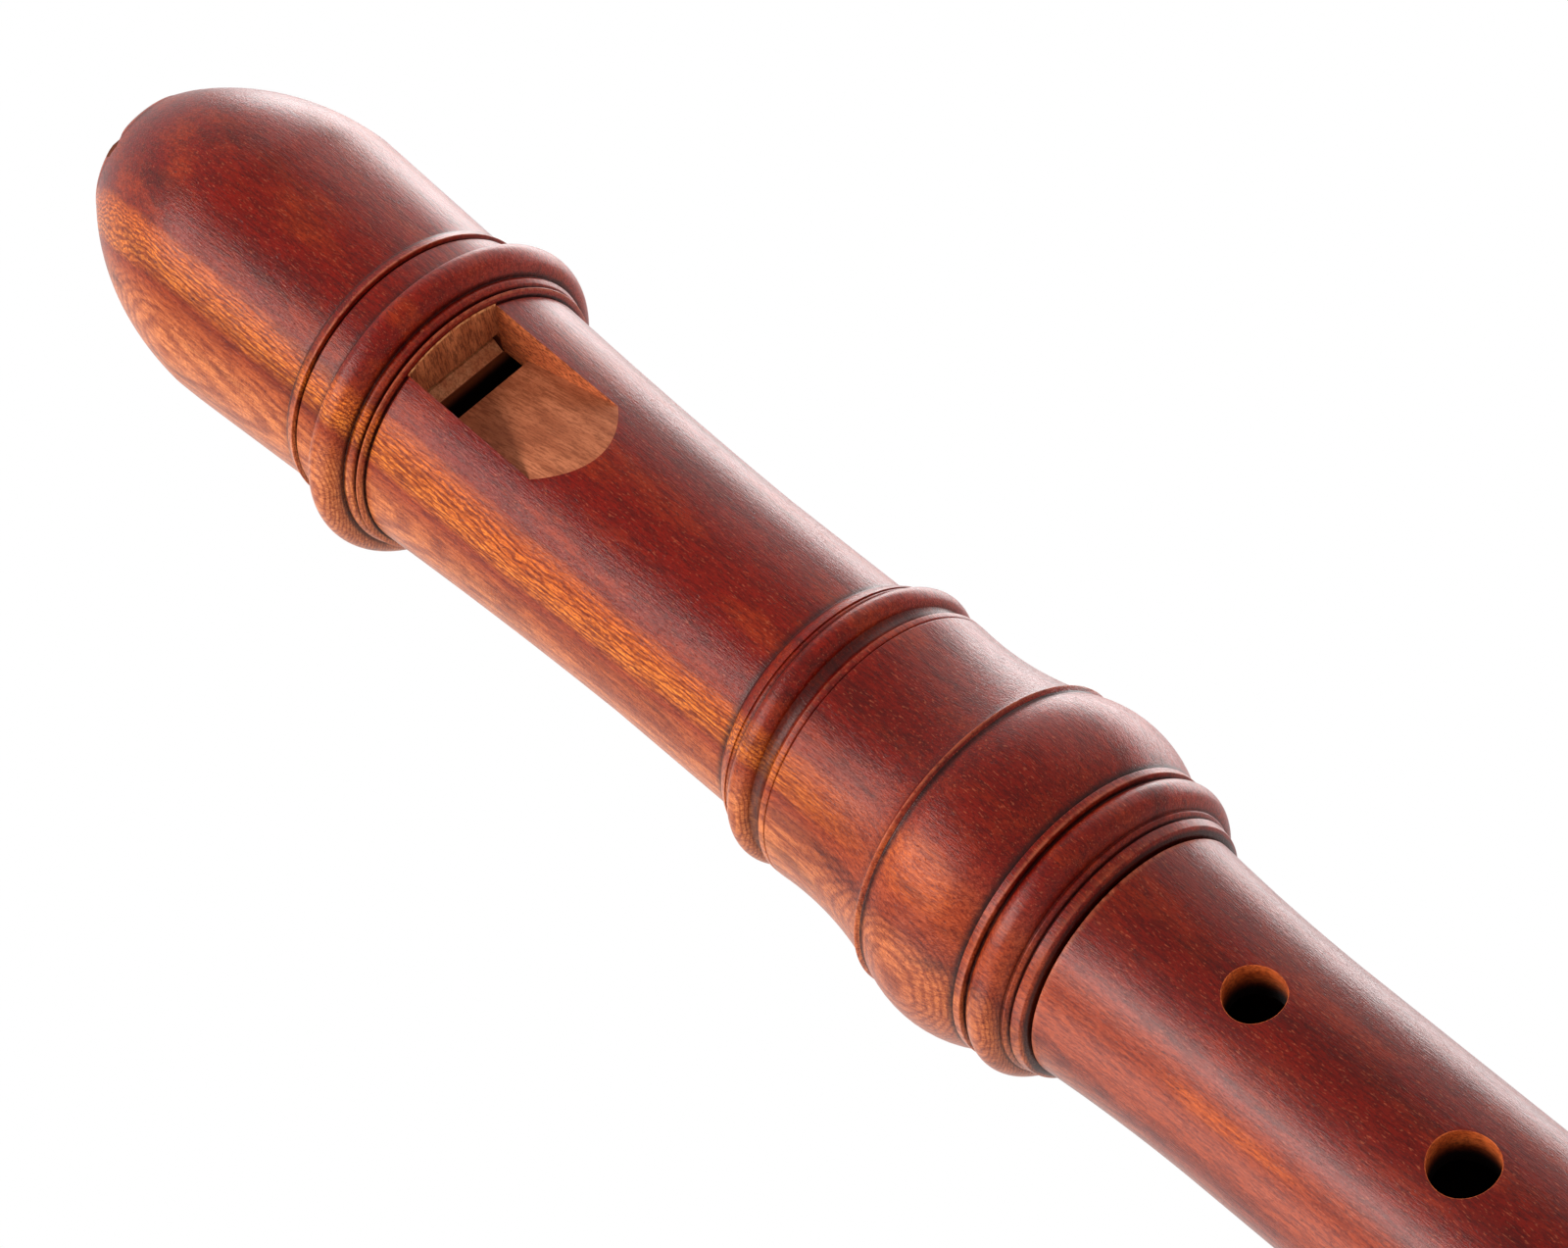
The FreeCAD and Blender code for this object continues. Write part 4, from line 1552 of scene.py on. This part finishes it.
    def _draw_bulb(self, line: Outline) -> None:
        """Draw the bulb and the rings at the socket's lip.

        Args:
            line: Section to draw on.
        """
        at, work = self.at, self.work
        ring_top = at.bulb_end + work.narrow / 2 + work.lip_ring
        bulb_chord = (self.flare_end_radius + work.rise + self.bulb_end_radius) / 2
        flat_top = at.head_end + work.lip_chamfer + work.lip_flat
        ring_end = flat_top + work.narrow
        band = self.lip_edge_radius + work.lip_band
        lip_chord = (self.lip_ring_radius + band) / 2
        groove = self.lip_ring_radius - work.groove_depth
        line.bow(self.bulb_end_radius, ring_top, self.bulb_radius - bulb_chord)
        line.line(self.lip_ring_radius, ring_top)
        line.line(self.lip_ring_radius, at.bulb_end + work.narrow / 2)
        line.ridge(groove, at.bulb_end - work.narrow / 2, -work.groove_depth)
        line.bow(band + work.rise, ring_end + work.fine_ring, self.lip_bead_radius - lip_chord)
        line.ridge(band, ring_end, work.rise)
        line.ridge(band, flat_top, -work.rise * 2)
        line.line(band - work.rise, at.head_end + work.lip_chamfer)
        line.line(self.lip_edge_radius, at.head_end)

    def windway(self, finish: bpy.types.Material) -> Cutter:
        """Cut the slot that carries the breath to the window.

        Args:
            finish: Finish of its walls.

        Returns:
            The cutter.
        """
        voice, past = self.voicing, self.work.overrun
        top, tip = self.at.neck_top, self.at.tip
        low = voice.bore_radius / 2
        reach = (tip + past - top) / (tip - top)
        half_width = between(voice.exit_half_width, voice.mouth_half_width, reach)
        roof = between(voice.exit_roof, voice.mouth_roof, reach)
        exit_ring = eased_ring(top - past, voice.exit_half_width, low, voice.exit_roof, voice.exit_ease)
        mouth_ring = eased_ring(tip + past, half_width, low, roof, voice.mouth_ease)
        return Cutter("windway", finish).loft([exit_ring, mouth_ring])

    def windway_exit(self, finish: bpy.types.Material) -> Cutter:
        """Cut the chamfer of the roof where the breath leaves it.

        Args:
            finish: Finish of the chamfer.

        Returns:
            The cutter.
        """
        voice, past = self.voicing, self.work.overrun
        top = self.at.neck_top
        points = [
            (voice.exit_roof - past, top - past),
            (voice.exit_roof + voice.windway_chamfer, top - past),
            (voice.exit_roof + voice.windway_chamfer, top),
            (voice.exit_roof, top + voice.windway_chamfer),
            (voice.exit_roof - past, top + voice.windway_chamfer),
        ]
        return Cutter("windway_exit", finish).loft(prism_rings(points, voice.exit_half_width))

    def window(self, finishes: Finishes) -> list[Cutter]:
        """Cut the window, the ramp that rises from the labium and the hollow under it.

        Args:
            finishes: The recorder's finishes.

        Returns:
            The cutters.
        """
        voice, past = self.voicing, self.work.overrun
        surface, low = self.bulb_radius + past, voice.bore_radius / 2
        top = self.at.neck_top
        edge, ramp_end = top - voice.window_height, top - voice.ramp_length
        rise = self.neck_waist_radius - voice.labium_height
        end_height = self.neck_waist_radius + rise * past / (edge - ramp_end)
        depth = self.neck_top_radius - voice.labium_height
        flare = (voice.surface_half_width - voice.edge_half_width) / depth

        def ring(height: float, half_width: float, floor: float) -> list[Vector]:
            """Give a section that widens from its floor to well outside the joint."""
            return slot_ring(height, half_width, floor, surface, half_width + flare * (surface - floor))

        edge_ring = ring(edge, voice.edge_half_width, voice.labium_height)
        top_ring = ring(top, voice.edge_half_width, voice.labium_height)
        end_ring = ring(ramp_end - past, voice.ramp_end_half_width, end_height)
        bare = (finishes.ramp, finishes.wall, finishes.end)
        well = Cutter("window", *bare).loft([edge_ring, top_ring], SLOT_WALLS)
        wedge = Cutter("ramp", *bare).loft([end_ring, edge_ring], SLOT_WALLS)
        points = [(low, edge), (surface, edge), (surface, top), (low, top)]
        shaft = Cutter("shaft", finishes.wall).loft(prism_rings(points, voice.edge_half_width))
        points = [
            (low, edge + past),
            (voice.labium_height, edge + past),
            (voice.labium_height, edge),
            (voice.labium_height - voice.undercut_depth, edge - voice.undercut_length),
            (low, edge - voice.undercut_length),
        ]
        hollow = Cutter("undercut", finishes.bore).loft(prism_rings(points, voice.edge_half_width))
        return [well, shaft, wedge, hollow]

    def beak_cut(self, finish: bpy.types.Material, outline: Outline) -> Cutter:
        """Cut the hollow under the beak, where the lower lip rests, and round its edges.

        Args:
            finish: Finish of the cut.
            outline: The joint's section.

        Returns:
            The cutter.
        """
        centre, radius = self.cut_round()
        past = self.work.overrun
        top = self.at.tip - self.tip_dome - self.work.rise
        far = self.beak_radius + past
        start, end = self.at.crown_top + self.voicing.heel_length - past, self.at.tip + past
        sections = []
        for index in range(self.cut_rings):
            height = between(start, end, index / (self.cut_rings - 1))
            low = centre.y - math.sqrt(radius**2 - (height - centre.z) ** 2)
            outside = outline.outside_at(min(height, top))
            reach = math.sqrt(max(outside**2 - low**2, past**2 / 4))
            soft = min(self.voicing.edge_round, reach / 2)
            corner = Vector((reach, low))
            turn = math.atan2(low, reach) - soft / outside
            flat = Vector((reach - soft, low))
            # The round runs out along the joint's own surface
            side = corner.length * Vector((math.cos(turn), math.sin(turn)))
            half = []
            for step in range(self.cut_steps + 1):
                share = step / self.cut_steps
                half.append(flat.lerp(corner, share).lerp(corner.lerp(side, share), share))
            half.append(side + side.normalized() * past)
            half.append(Vector((far + past, far + 2 * past)))
            ring = [Vector((point.x, point.y, height)) for point in half]
            ring += [Vector((-point.x, point.y, height)) for point in reversed(half)]
            sections.append(ring)
        return Cutter("beak_cut", finish).loft(sections)

    def cut_round(self) -> tuple[Vector, float]:
        """Give the middle and radius of the round cut under the beak.

        Returns:
            The middle and the radius, in millimetres.
        """
        voice, tip = self.voicing, self.at.tip
        near = Vector((0, voice.tip_thickness - self.tip_corner_radius, tip))
        far = Vector((0, self.beak_radius, self.at.crown_top + voice.heel_length))
        chord = far - near
        outward = Vector((0, -chord.z, chord.y)).normalized()
        radius = (chord.length / 2) ** 2 / voice.cut_hollow / 2 + voice.cut_hollow / 2
        return (near + far) / 2 + outward * (radius - voice.cut_hollow), radius

    def build(self, lathe: Lathe, finishes: Finishes) -> bpy.types.Object:
        """Turn and cut the head joint.

        Args:
            lathe: The lathe.
            finishes: The recorder's finishes.

        Returns:
            The finished piece.
        """
        outline = self.outline()
        piece = lathe.turn("pear_head_joint", outline, finishes.stained, finishes.bore)
        cutters = [self.windway(finishes.windway), self.windway_exit(finishes.wall)]
        cutters += self.window(finishes)
        cutters.append(self.beak_cut(finishes.hollow, outline))
        cut(piece, cutters)
        shade(piece)
        return piece


@dataclass(frozen=True)
class MiddleJoint:
    """Middle joint: two tenons, a tapered bore and six finger holes."""

    at: Heights
    work: SmallWork
    top_radius: float = 10.8
    waist_radius: float = 10.05
    end_radius: float = 9.95
    waist_drop: float = 15.0
    hollow: float = 0.16
    bore_top: float = 6.45
    bore_end: float = 5.0
    tenon_chamfer: float = 0.5
    groove_depth: float = 0.9
    upper_cork_offset: float = 2.6
    upper_cork_length: float = 16.5
    lower_cork_offset: float = 2.2
    lower_cork_length: float = 8.6
    hole_one_drop: float = 14.0
    hole_six_rise: float = 6.2
    hole_diameters: tuple[float, ...] = (4.9, 5.5, 5.8, 5.7, 6.0)
    hole_shares: tuple[float, ...] = (0.0, 0.207, 0.413, 0.61, 0.811, 1.0)
    thumb_rise: float = 7.4
    thumb_diameter: float = 5.4

    def outline(self) -> Outline:
        """Draw the section, down the outside and up the bore.

        Returns:
            The section, with its corners softened.
        """
        at = self.at
        upper, lower = at.upper_tenon_radius, at.lower_tenon_radius
        top = at.head_end - at.seam_gap
        end = at.foot_length + at.seam_gap
        groove_top = at.upper_tenon_top - self.upper_cork_offset
        lower_groove_end = at.lower_tenon_end + self.lower_cork_offset
        line = Outline(self.bore_top, at.upper_tenon_top)
        line.lines(
            (upper - self.tenon_chamfer, at.upper_tenon_top),
            (upper, at.upper_tenon_top - self.tenon_chamfer),
            (upper, groove_top),
            (upper - self.groove_depth, groove_top),
            (upper - self.groove_depth, groove_top - self.upper_cork_length),
            (upper, groove_top - self.upper_cork_length),
            (upper, top),
            (self.top_radius, top),
        )
        line.bow(self.waist_radius, top - self.waist_drop, -self.hollow)
        line.lines(
            (self.end_radius, end),
            (lower, end),
            (lower, lower_groove_end + self.lower_cork_length),
            (lower - self.groove_depth, lower_groove_end + self.lower_cork_length),
            (lower - self.groove_depth, lower_groove_end),
            (lower, lower_groove_end),
            (lower, at.lower_tenon_end + self.tenon_chamfer),
            (lower - self.tenon_chamfer, at.lower_tenon_end),
            (self.bore_end, at.lower_tenon_end),
        )
        line.step = LONG_STEP
        line.bare().line(self.bore_top, at.upper_tenon_top - self.work.rise)
        return line.softened(self.work.softness)

    def build(self, lathe: Lathe, finishes: Finishes) -> bpy.types.Object:
        """Turn and drill the middle joint.

        Args:
            lathe: The lathe.
            finishes: The recorder's finishes.

        Returns:
            The finished piece.
        """
        outline = self.outline()
        piece = lathe.turn("pear_middle_joint", outline, finishes.stained, finishes.bore)
        first = self.at.head_end - self.hole_one_drop
        last = self.at.foot_length + self.hole_six_rise
        heights = [between(first, last, share) for share in self.hole_shares]
        holes = Cutter("finger_holes", finishes.hole)
        for height, diameter in zip(heights, self.hole_diameters):
            self.work.hole(holes, height, diameter, outline.outside_at)
        thumb = first + self.thumb_rise
        self.work.hole(holes, thumb, self.thumb_diameter, outline.outside_at, Facing.BACK)
        cut(piece, [holes])
        HolePair().drill(piece, self.work, heights[-1], outline, finishes)
        shade(piece)
        return piece


@dataclass(frozen=True)
class HolePair:
    """Two small holes side by side, in a shallow saddle."""

    large: float = 3.4
    small: float = 2.7
    spacing: float = 4.3
    saddle_radius: float = 9.0
    saddle_depth: float = 0.45
    hole_sides: int = 48
    saddle_sides: int = 240

    def drill(
        self,
        piece: bpy.types.Object,
        work: SmallWork,
        height: float,
        outline: Outline,
        finishes: Finishes,
    ) -> None:
        """Cut the saddle and then the two holes.

        Args:
            piece: Joint to cut.
            work: The recorder's small work.
            height: Height of the pair.
            outline: The joint's section.
            finishes: The recorder's finishes.
        """
        surface = outline.outside_at(height)
        back = surface - self.saddle_depth + self.saddle_radius
        arc = circle(self.saddle_radius, self.saddle_sides)
        rings = [[Vector((side * surface, y - back, height + z)) for y, z in arc] for side in (-1, 1)]
        saddle = Cutter("saddle", finishes.stained).loft(rings)
        holes = Cutter("pair_of_holes", finishes.hole)
        for diameter, across in ((self.large, -self.spacing / 2), (self.small, self.spacing / 2)):
            rim = circle(diameter / 2, self.hole_sides)
            reaches = (0.0, surface + work.overrun)
            holes.loft([[Vector((across + x, -reach, height + z)) for x, z in rim] for reach in reaches])
        cut(piece, [saddle, holes])


@dataclass(frozen=True)
class FootJoint:
    """Foot joint: bulb over the socket, flare, ring, bell and rim, and the last pair of holes."""

    at: Heights
    work: SmallWork
    lip_radius: float = 11.1
    bead_radius: float = 12.9
    bulb_end_radius: float = 12.7
    bulb_radius: float = 13.9
    stem_radius: float = 10.35
    ring_radius: float = 11.7
    rim_radius: float = 13.0
    end_radius: float = 11.6
    lip_length: float = 5.2
    bulb_length: float = 10.2
    flare_length: float = 14.0
    flare_hollow: float = 1.0
    bell_length: float = 17.5
    ring: float = 2.6
    bell_hollow: float = 0.55
    rim: float = 4.2
    rim_rise: float = 0.95
    edge_round: float = 0.35
    bore: float = 4.9
    hole_seven_drop: float = 19.0

    def outline(self) -> Outline:
        """Draw the section, down the outside and up the bore.

        Returns:
            The section, with its corners softened.
        """
        at, work = self.at, self.work
        top = at.foot_length
        bulb_top = top - self.lip_length
        bulb_low = bulb_top - self.bulb_length
        stem_top = bulb_low - self.flare_length
        socket = at.lower_socket_radius
        band = self.lip_radius + work.lip_band
        flat_end = top - work.lip_chamfer - work.lip_flat
        ring_top = flat_end - work.narrow
        bead_chord = (band + self.bulb_end_radius) / 2
        line = Outline(socket + work.socket_lead, top)
        line.lines((self.lip_radius, top), (band - work.rise, top - work.lip_chamfer), (band, flat_end))
        line.ridge(band, ring_top, -work.rise * 2)
        line.ridge(band + work.rise, ring_top - work.fine_ring, work.rise)
        groove = self.bulb_end_radius - work.groove_depth
        line.bow(groove, bulb_top + work.narrow / 2, self.bead_radius - bead_chord)
        line.ridge(self.bulb_end_radius + work.rise / 2, bulb_top - work.narrow / 2, -work.groove_depth)
        line.line(self.bulb_end_radius + work.rise / 2, bulb_top - work.lip_ring)
        line.line(self.bulb_end_radius, bulb_top - work.lip_ring)
        line.bow(self.bulb_end_radius, bulb_low + work.bead, self.bulb_radius - self.bulb_end_radius)
        line.ridge(self.bulb_end_radius - work.rise, bulb_low, work.bead / 2)
        line.bow(self.stem_radius + work.rise, stem_top, -self.flare_hollow)
        line.line(self.stem_radius, self.bell_length + self.ring / 2)
        ring_rise = self.ring_radius - self.stem_radius
        line.bow(self.stem_radius + work.rise, self.bell_length - self.ring / 2, ring_rise)
        line.bow(self.rim_radius - self.rim_rise, self.rim + work.groove, -self.bell_hollow)
        line.ridge(self.rim_radius - self.rim_rise, self.rim, -work.rise)
        line.bow(self.end_radius + self.edge_round, self.edge_round, self.rim_rise)
        line.lines((self.end_radius, 0), (self.bore, 0)).bare()
        line.step = LONG_STEP
        bottom = top - at.lower_socket_depth
        line.lines((self.bore, bottom), (socket, bottom), (socket, top - work.socket_lead))
        line.line(socket + work.socket_lead - work.rise, top - work.rise)
        return line.softened(work.softness)

    def build(self, lathe: Lathe, finishes: Finishes) -> bpy.types.Object:
        """Turn and drill the foot joint.

        Args:
            lathe: The lathe.
            finishes: The recorder's finishes.

        Returns:
            The finished piece.
        """
        outline = self.outline()
        piece = lathe.turn("pear_foot_joint", outline, finishes.stained, finishes.bore)
        HolePair().drill(piece, self.work, self.at.foot_length - self.hole_seven_drop, outline, finishes)
        shade(piece)
        return piece


@dataclass(frozen=True)
class Softbox:
    """A soft lamp of the studio."""

    name: str
    toward: tuple[float, float, float]
    distance: float
    width: float
    height: float
    power: float
    aim: tuple[float, float, float] = (0.0, 0.0, 0.25)

    def place(self) -> None:
        """Hang the lamp and turn it to what it lights."""
        lamp = bpy.data.lights.new(self.name, "AREA")
        lamp.shape = "RECTANGLE"
        lamp.size = self.width
        lamp.size_y = self.height
        lamp.energy = self.power
        holder = placed(self.name, lamp)
        aim = Vector(self.aim)
        holder.location = aim + Vector(self.toward).normalized() * self.distance
        holder.rotation_euler = (aim - holder.location).to_track_quat("-Z", "Y").to_euler()


@dataclass(frozen=True)
class Studio:
    """Floor, white surroundings, soft lamps and the camera."""

    fill: float = 0.35
    floor_radius: float = 1.2
    floor_sides: int = 96
    camera_place: tuple[float, float, float] = (-0.1421, -0.3883, 0.0102)
    camera_toward: tuple[float, float, float] = (0.3034, 0.8116, 0.4995)
    camera_upward: tuple[float, float, float] = (0.6179, -0.5666, 0.5452)
    lens: float = 139.5
    sensor: float = 36.0
    clip_start: float = 0.01

    def surroundings(self) -> None:
        """Make the world white to the camera and in reflections, and a soft fill elsewhere."""
        world = bpy.data.worlds.new("surroundings")
        world.use_nodes = True
        world.node_tree.nodes.clear()
        nodes = Nodes(world.node_tree)
        path = nodes.node("ShaderNodeLightPath").outputs
        seen = Value(nodes, path["Is Camera Ray"])
        for name in ("Is Glossy Ray", "Is Transmission Ray"):
            seen = seen.math("MAXIMUM", Value(nodes, path[name]))
        inputs: dict[int, object] = {0: seen}
        for index, strength in enumerate((self.fill, 1.0), 1):
            light = {"Color": (1.0, 1.0, 1.0), "Strength": strength}
            inputs[index] = nodes.node("ShaderNodeBackground", None, light).outputs[0]
        both = nodes.node("ShaderNodeMixShader", None, inputs)
        nodes.node("ShaderNodeOutputWorld", None, {"Surface": both.outputs[0]})
        bpy.context.scene.world = world

    def floor(self) -> None:
        """Lay the pale floor that the recorder stands on, which fades out into the white."""
        shape = bmesh.new()
        bmesh.ops.create_circle(shape, cap_ends=True, segments=self.floor_sides, radius=self.floor_radius)
        mesh = bpy.data.meshes.new("floor")
        shape.to_mesh(mesh)
        shape.free()
        mesh.materials.append(FloorFinish().material())
        floor = placed("floor", mesh)

    def camera(self) -> None:
        """Set the camera up at the photograph's place and angle."""
        toward = Vector(self.camera_toward).normalized()
        right = toward.cross(Vector(self.camera_upward)).normalized()
        upward = right.cross(toward)
        lens = bpy.data.cameras.new("camera")
        lens.sensor_width = self.sensor
        lens.lens = self.lens
        lens.clip_start = self.clip_start
        camera = placed("camera", lens)
        turn = Matrix((right, upward, -toward)).transposed().to_4x4()
        camera.matrix_world = Matrix.Translation(self.camera_place) @ turn
        bpy.context.scene.camera = camera

    def lamps(self) -> None:
        """Hang the soft lamps."""
        lamps = (
            Softbox("key", (-0.71, -0.49, 0.43), 0.9, 0.2, 1.0, 10.6),
            Softbox("edge", (0.86, 0.37, 0.45), 0.9, 0.35, 1.0, 8.0),
            Softbox("wash", (0.9, -0.43, 0.45), 0.95, 0.5, 1.0, 2.8),
            Softbox("side", (-0.95, 0.3, -0.1), 0.9, 0.35, 1.2, 4.8),
        )
        for lamp in lamps:
            lamp.place()

    def build(self) -> None:
        """Set up the whole studio."""
        self.surroundings()
        self.floor()
        self.camera()
        self.lamps()


def main() -> None:
    """Build the pieces in order, put them on their bodies and report each one."""
    logging.basicConfig(level=logging.INFO, format="%(name)s: %(message)s")
    bpy.context.scene.view_settings.view_transform = "Standard"
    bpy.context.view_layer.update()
    Studio().build()
    lathe = Lathe()
    at, work, voicing = Heights(), SmallWork(), Voicing()
    head = HeadJoint(at, work, voicing)
    block_floor = voicing.exit_roof - voicing.exit_height - voicing.block_chamfer
    finishes = Finishes.make(head.neck_top_radius, at.neck_top, block_floor, at.tip)
    joints = (
        (head, "head_joint"),
        (MiddleJoint(at, work), "middle_joint"),
        (FootJoint(at, work), "foot_joint"),
    )
    for joint, node in joints:
        piece = joint.build(lathe, finishes)
        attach(piece, node)
        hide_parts(node)
        LOG.info("%s: %d faces", piece.name, len(piece.data.polygons))
    plain = {"block": finishes.cedar, "upper_tenon_cork": finishes.cork, "lower_tenon_cork": finishes.cork}
    for node, finish in plain.items():
        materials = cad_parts[node].data.materials
        materials.clear()
        materials.append(finish)


if __name__ == "__main__":
    main()
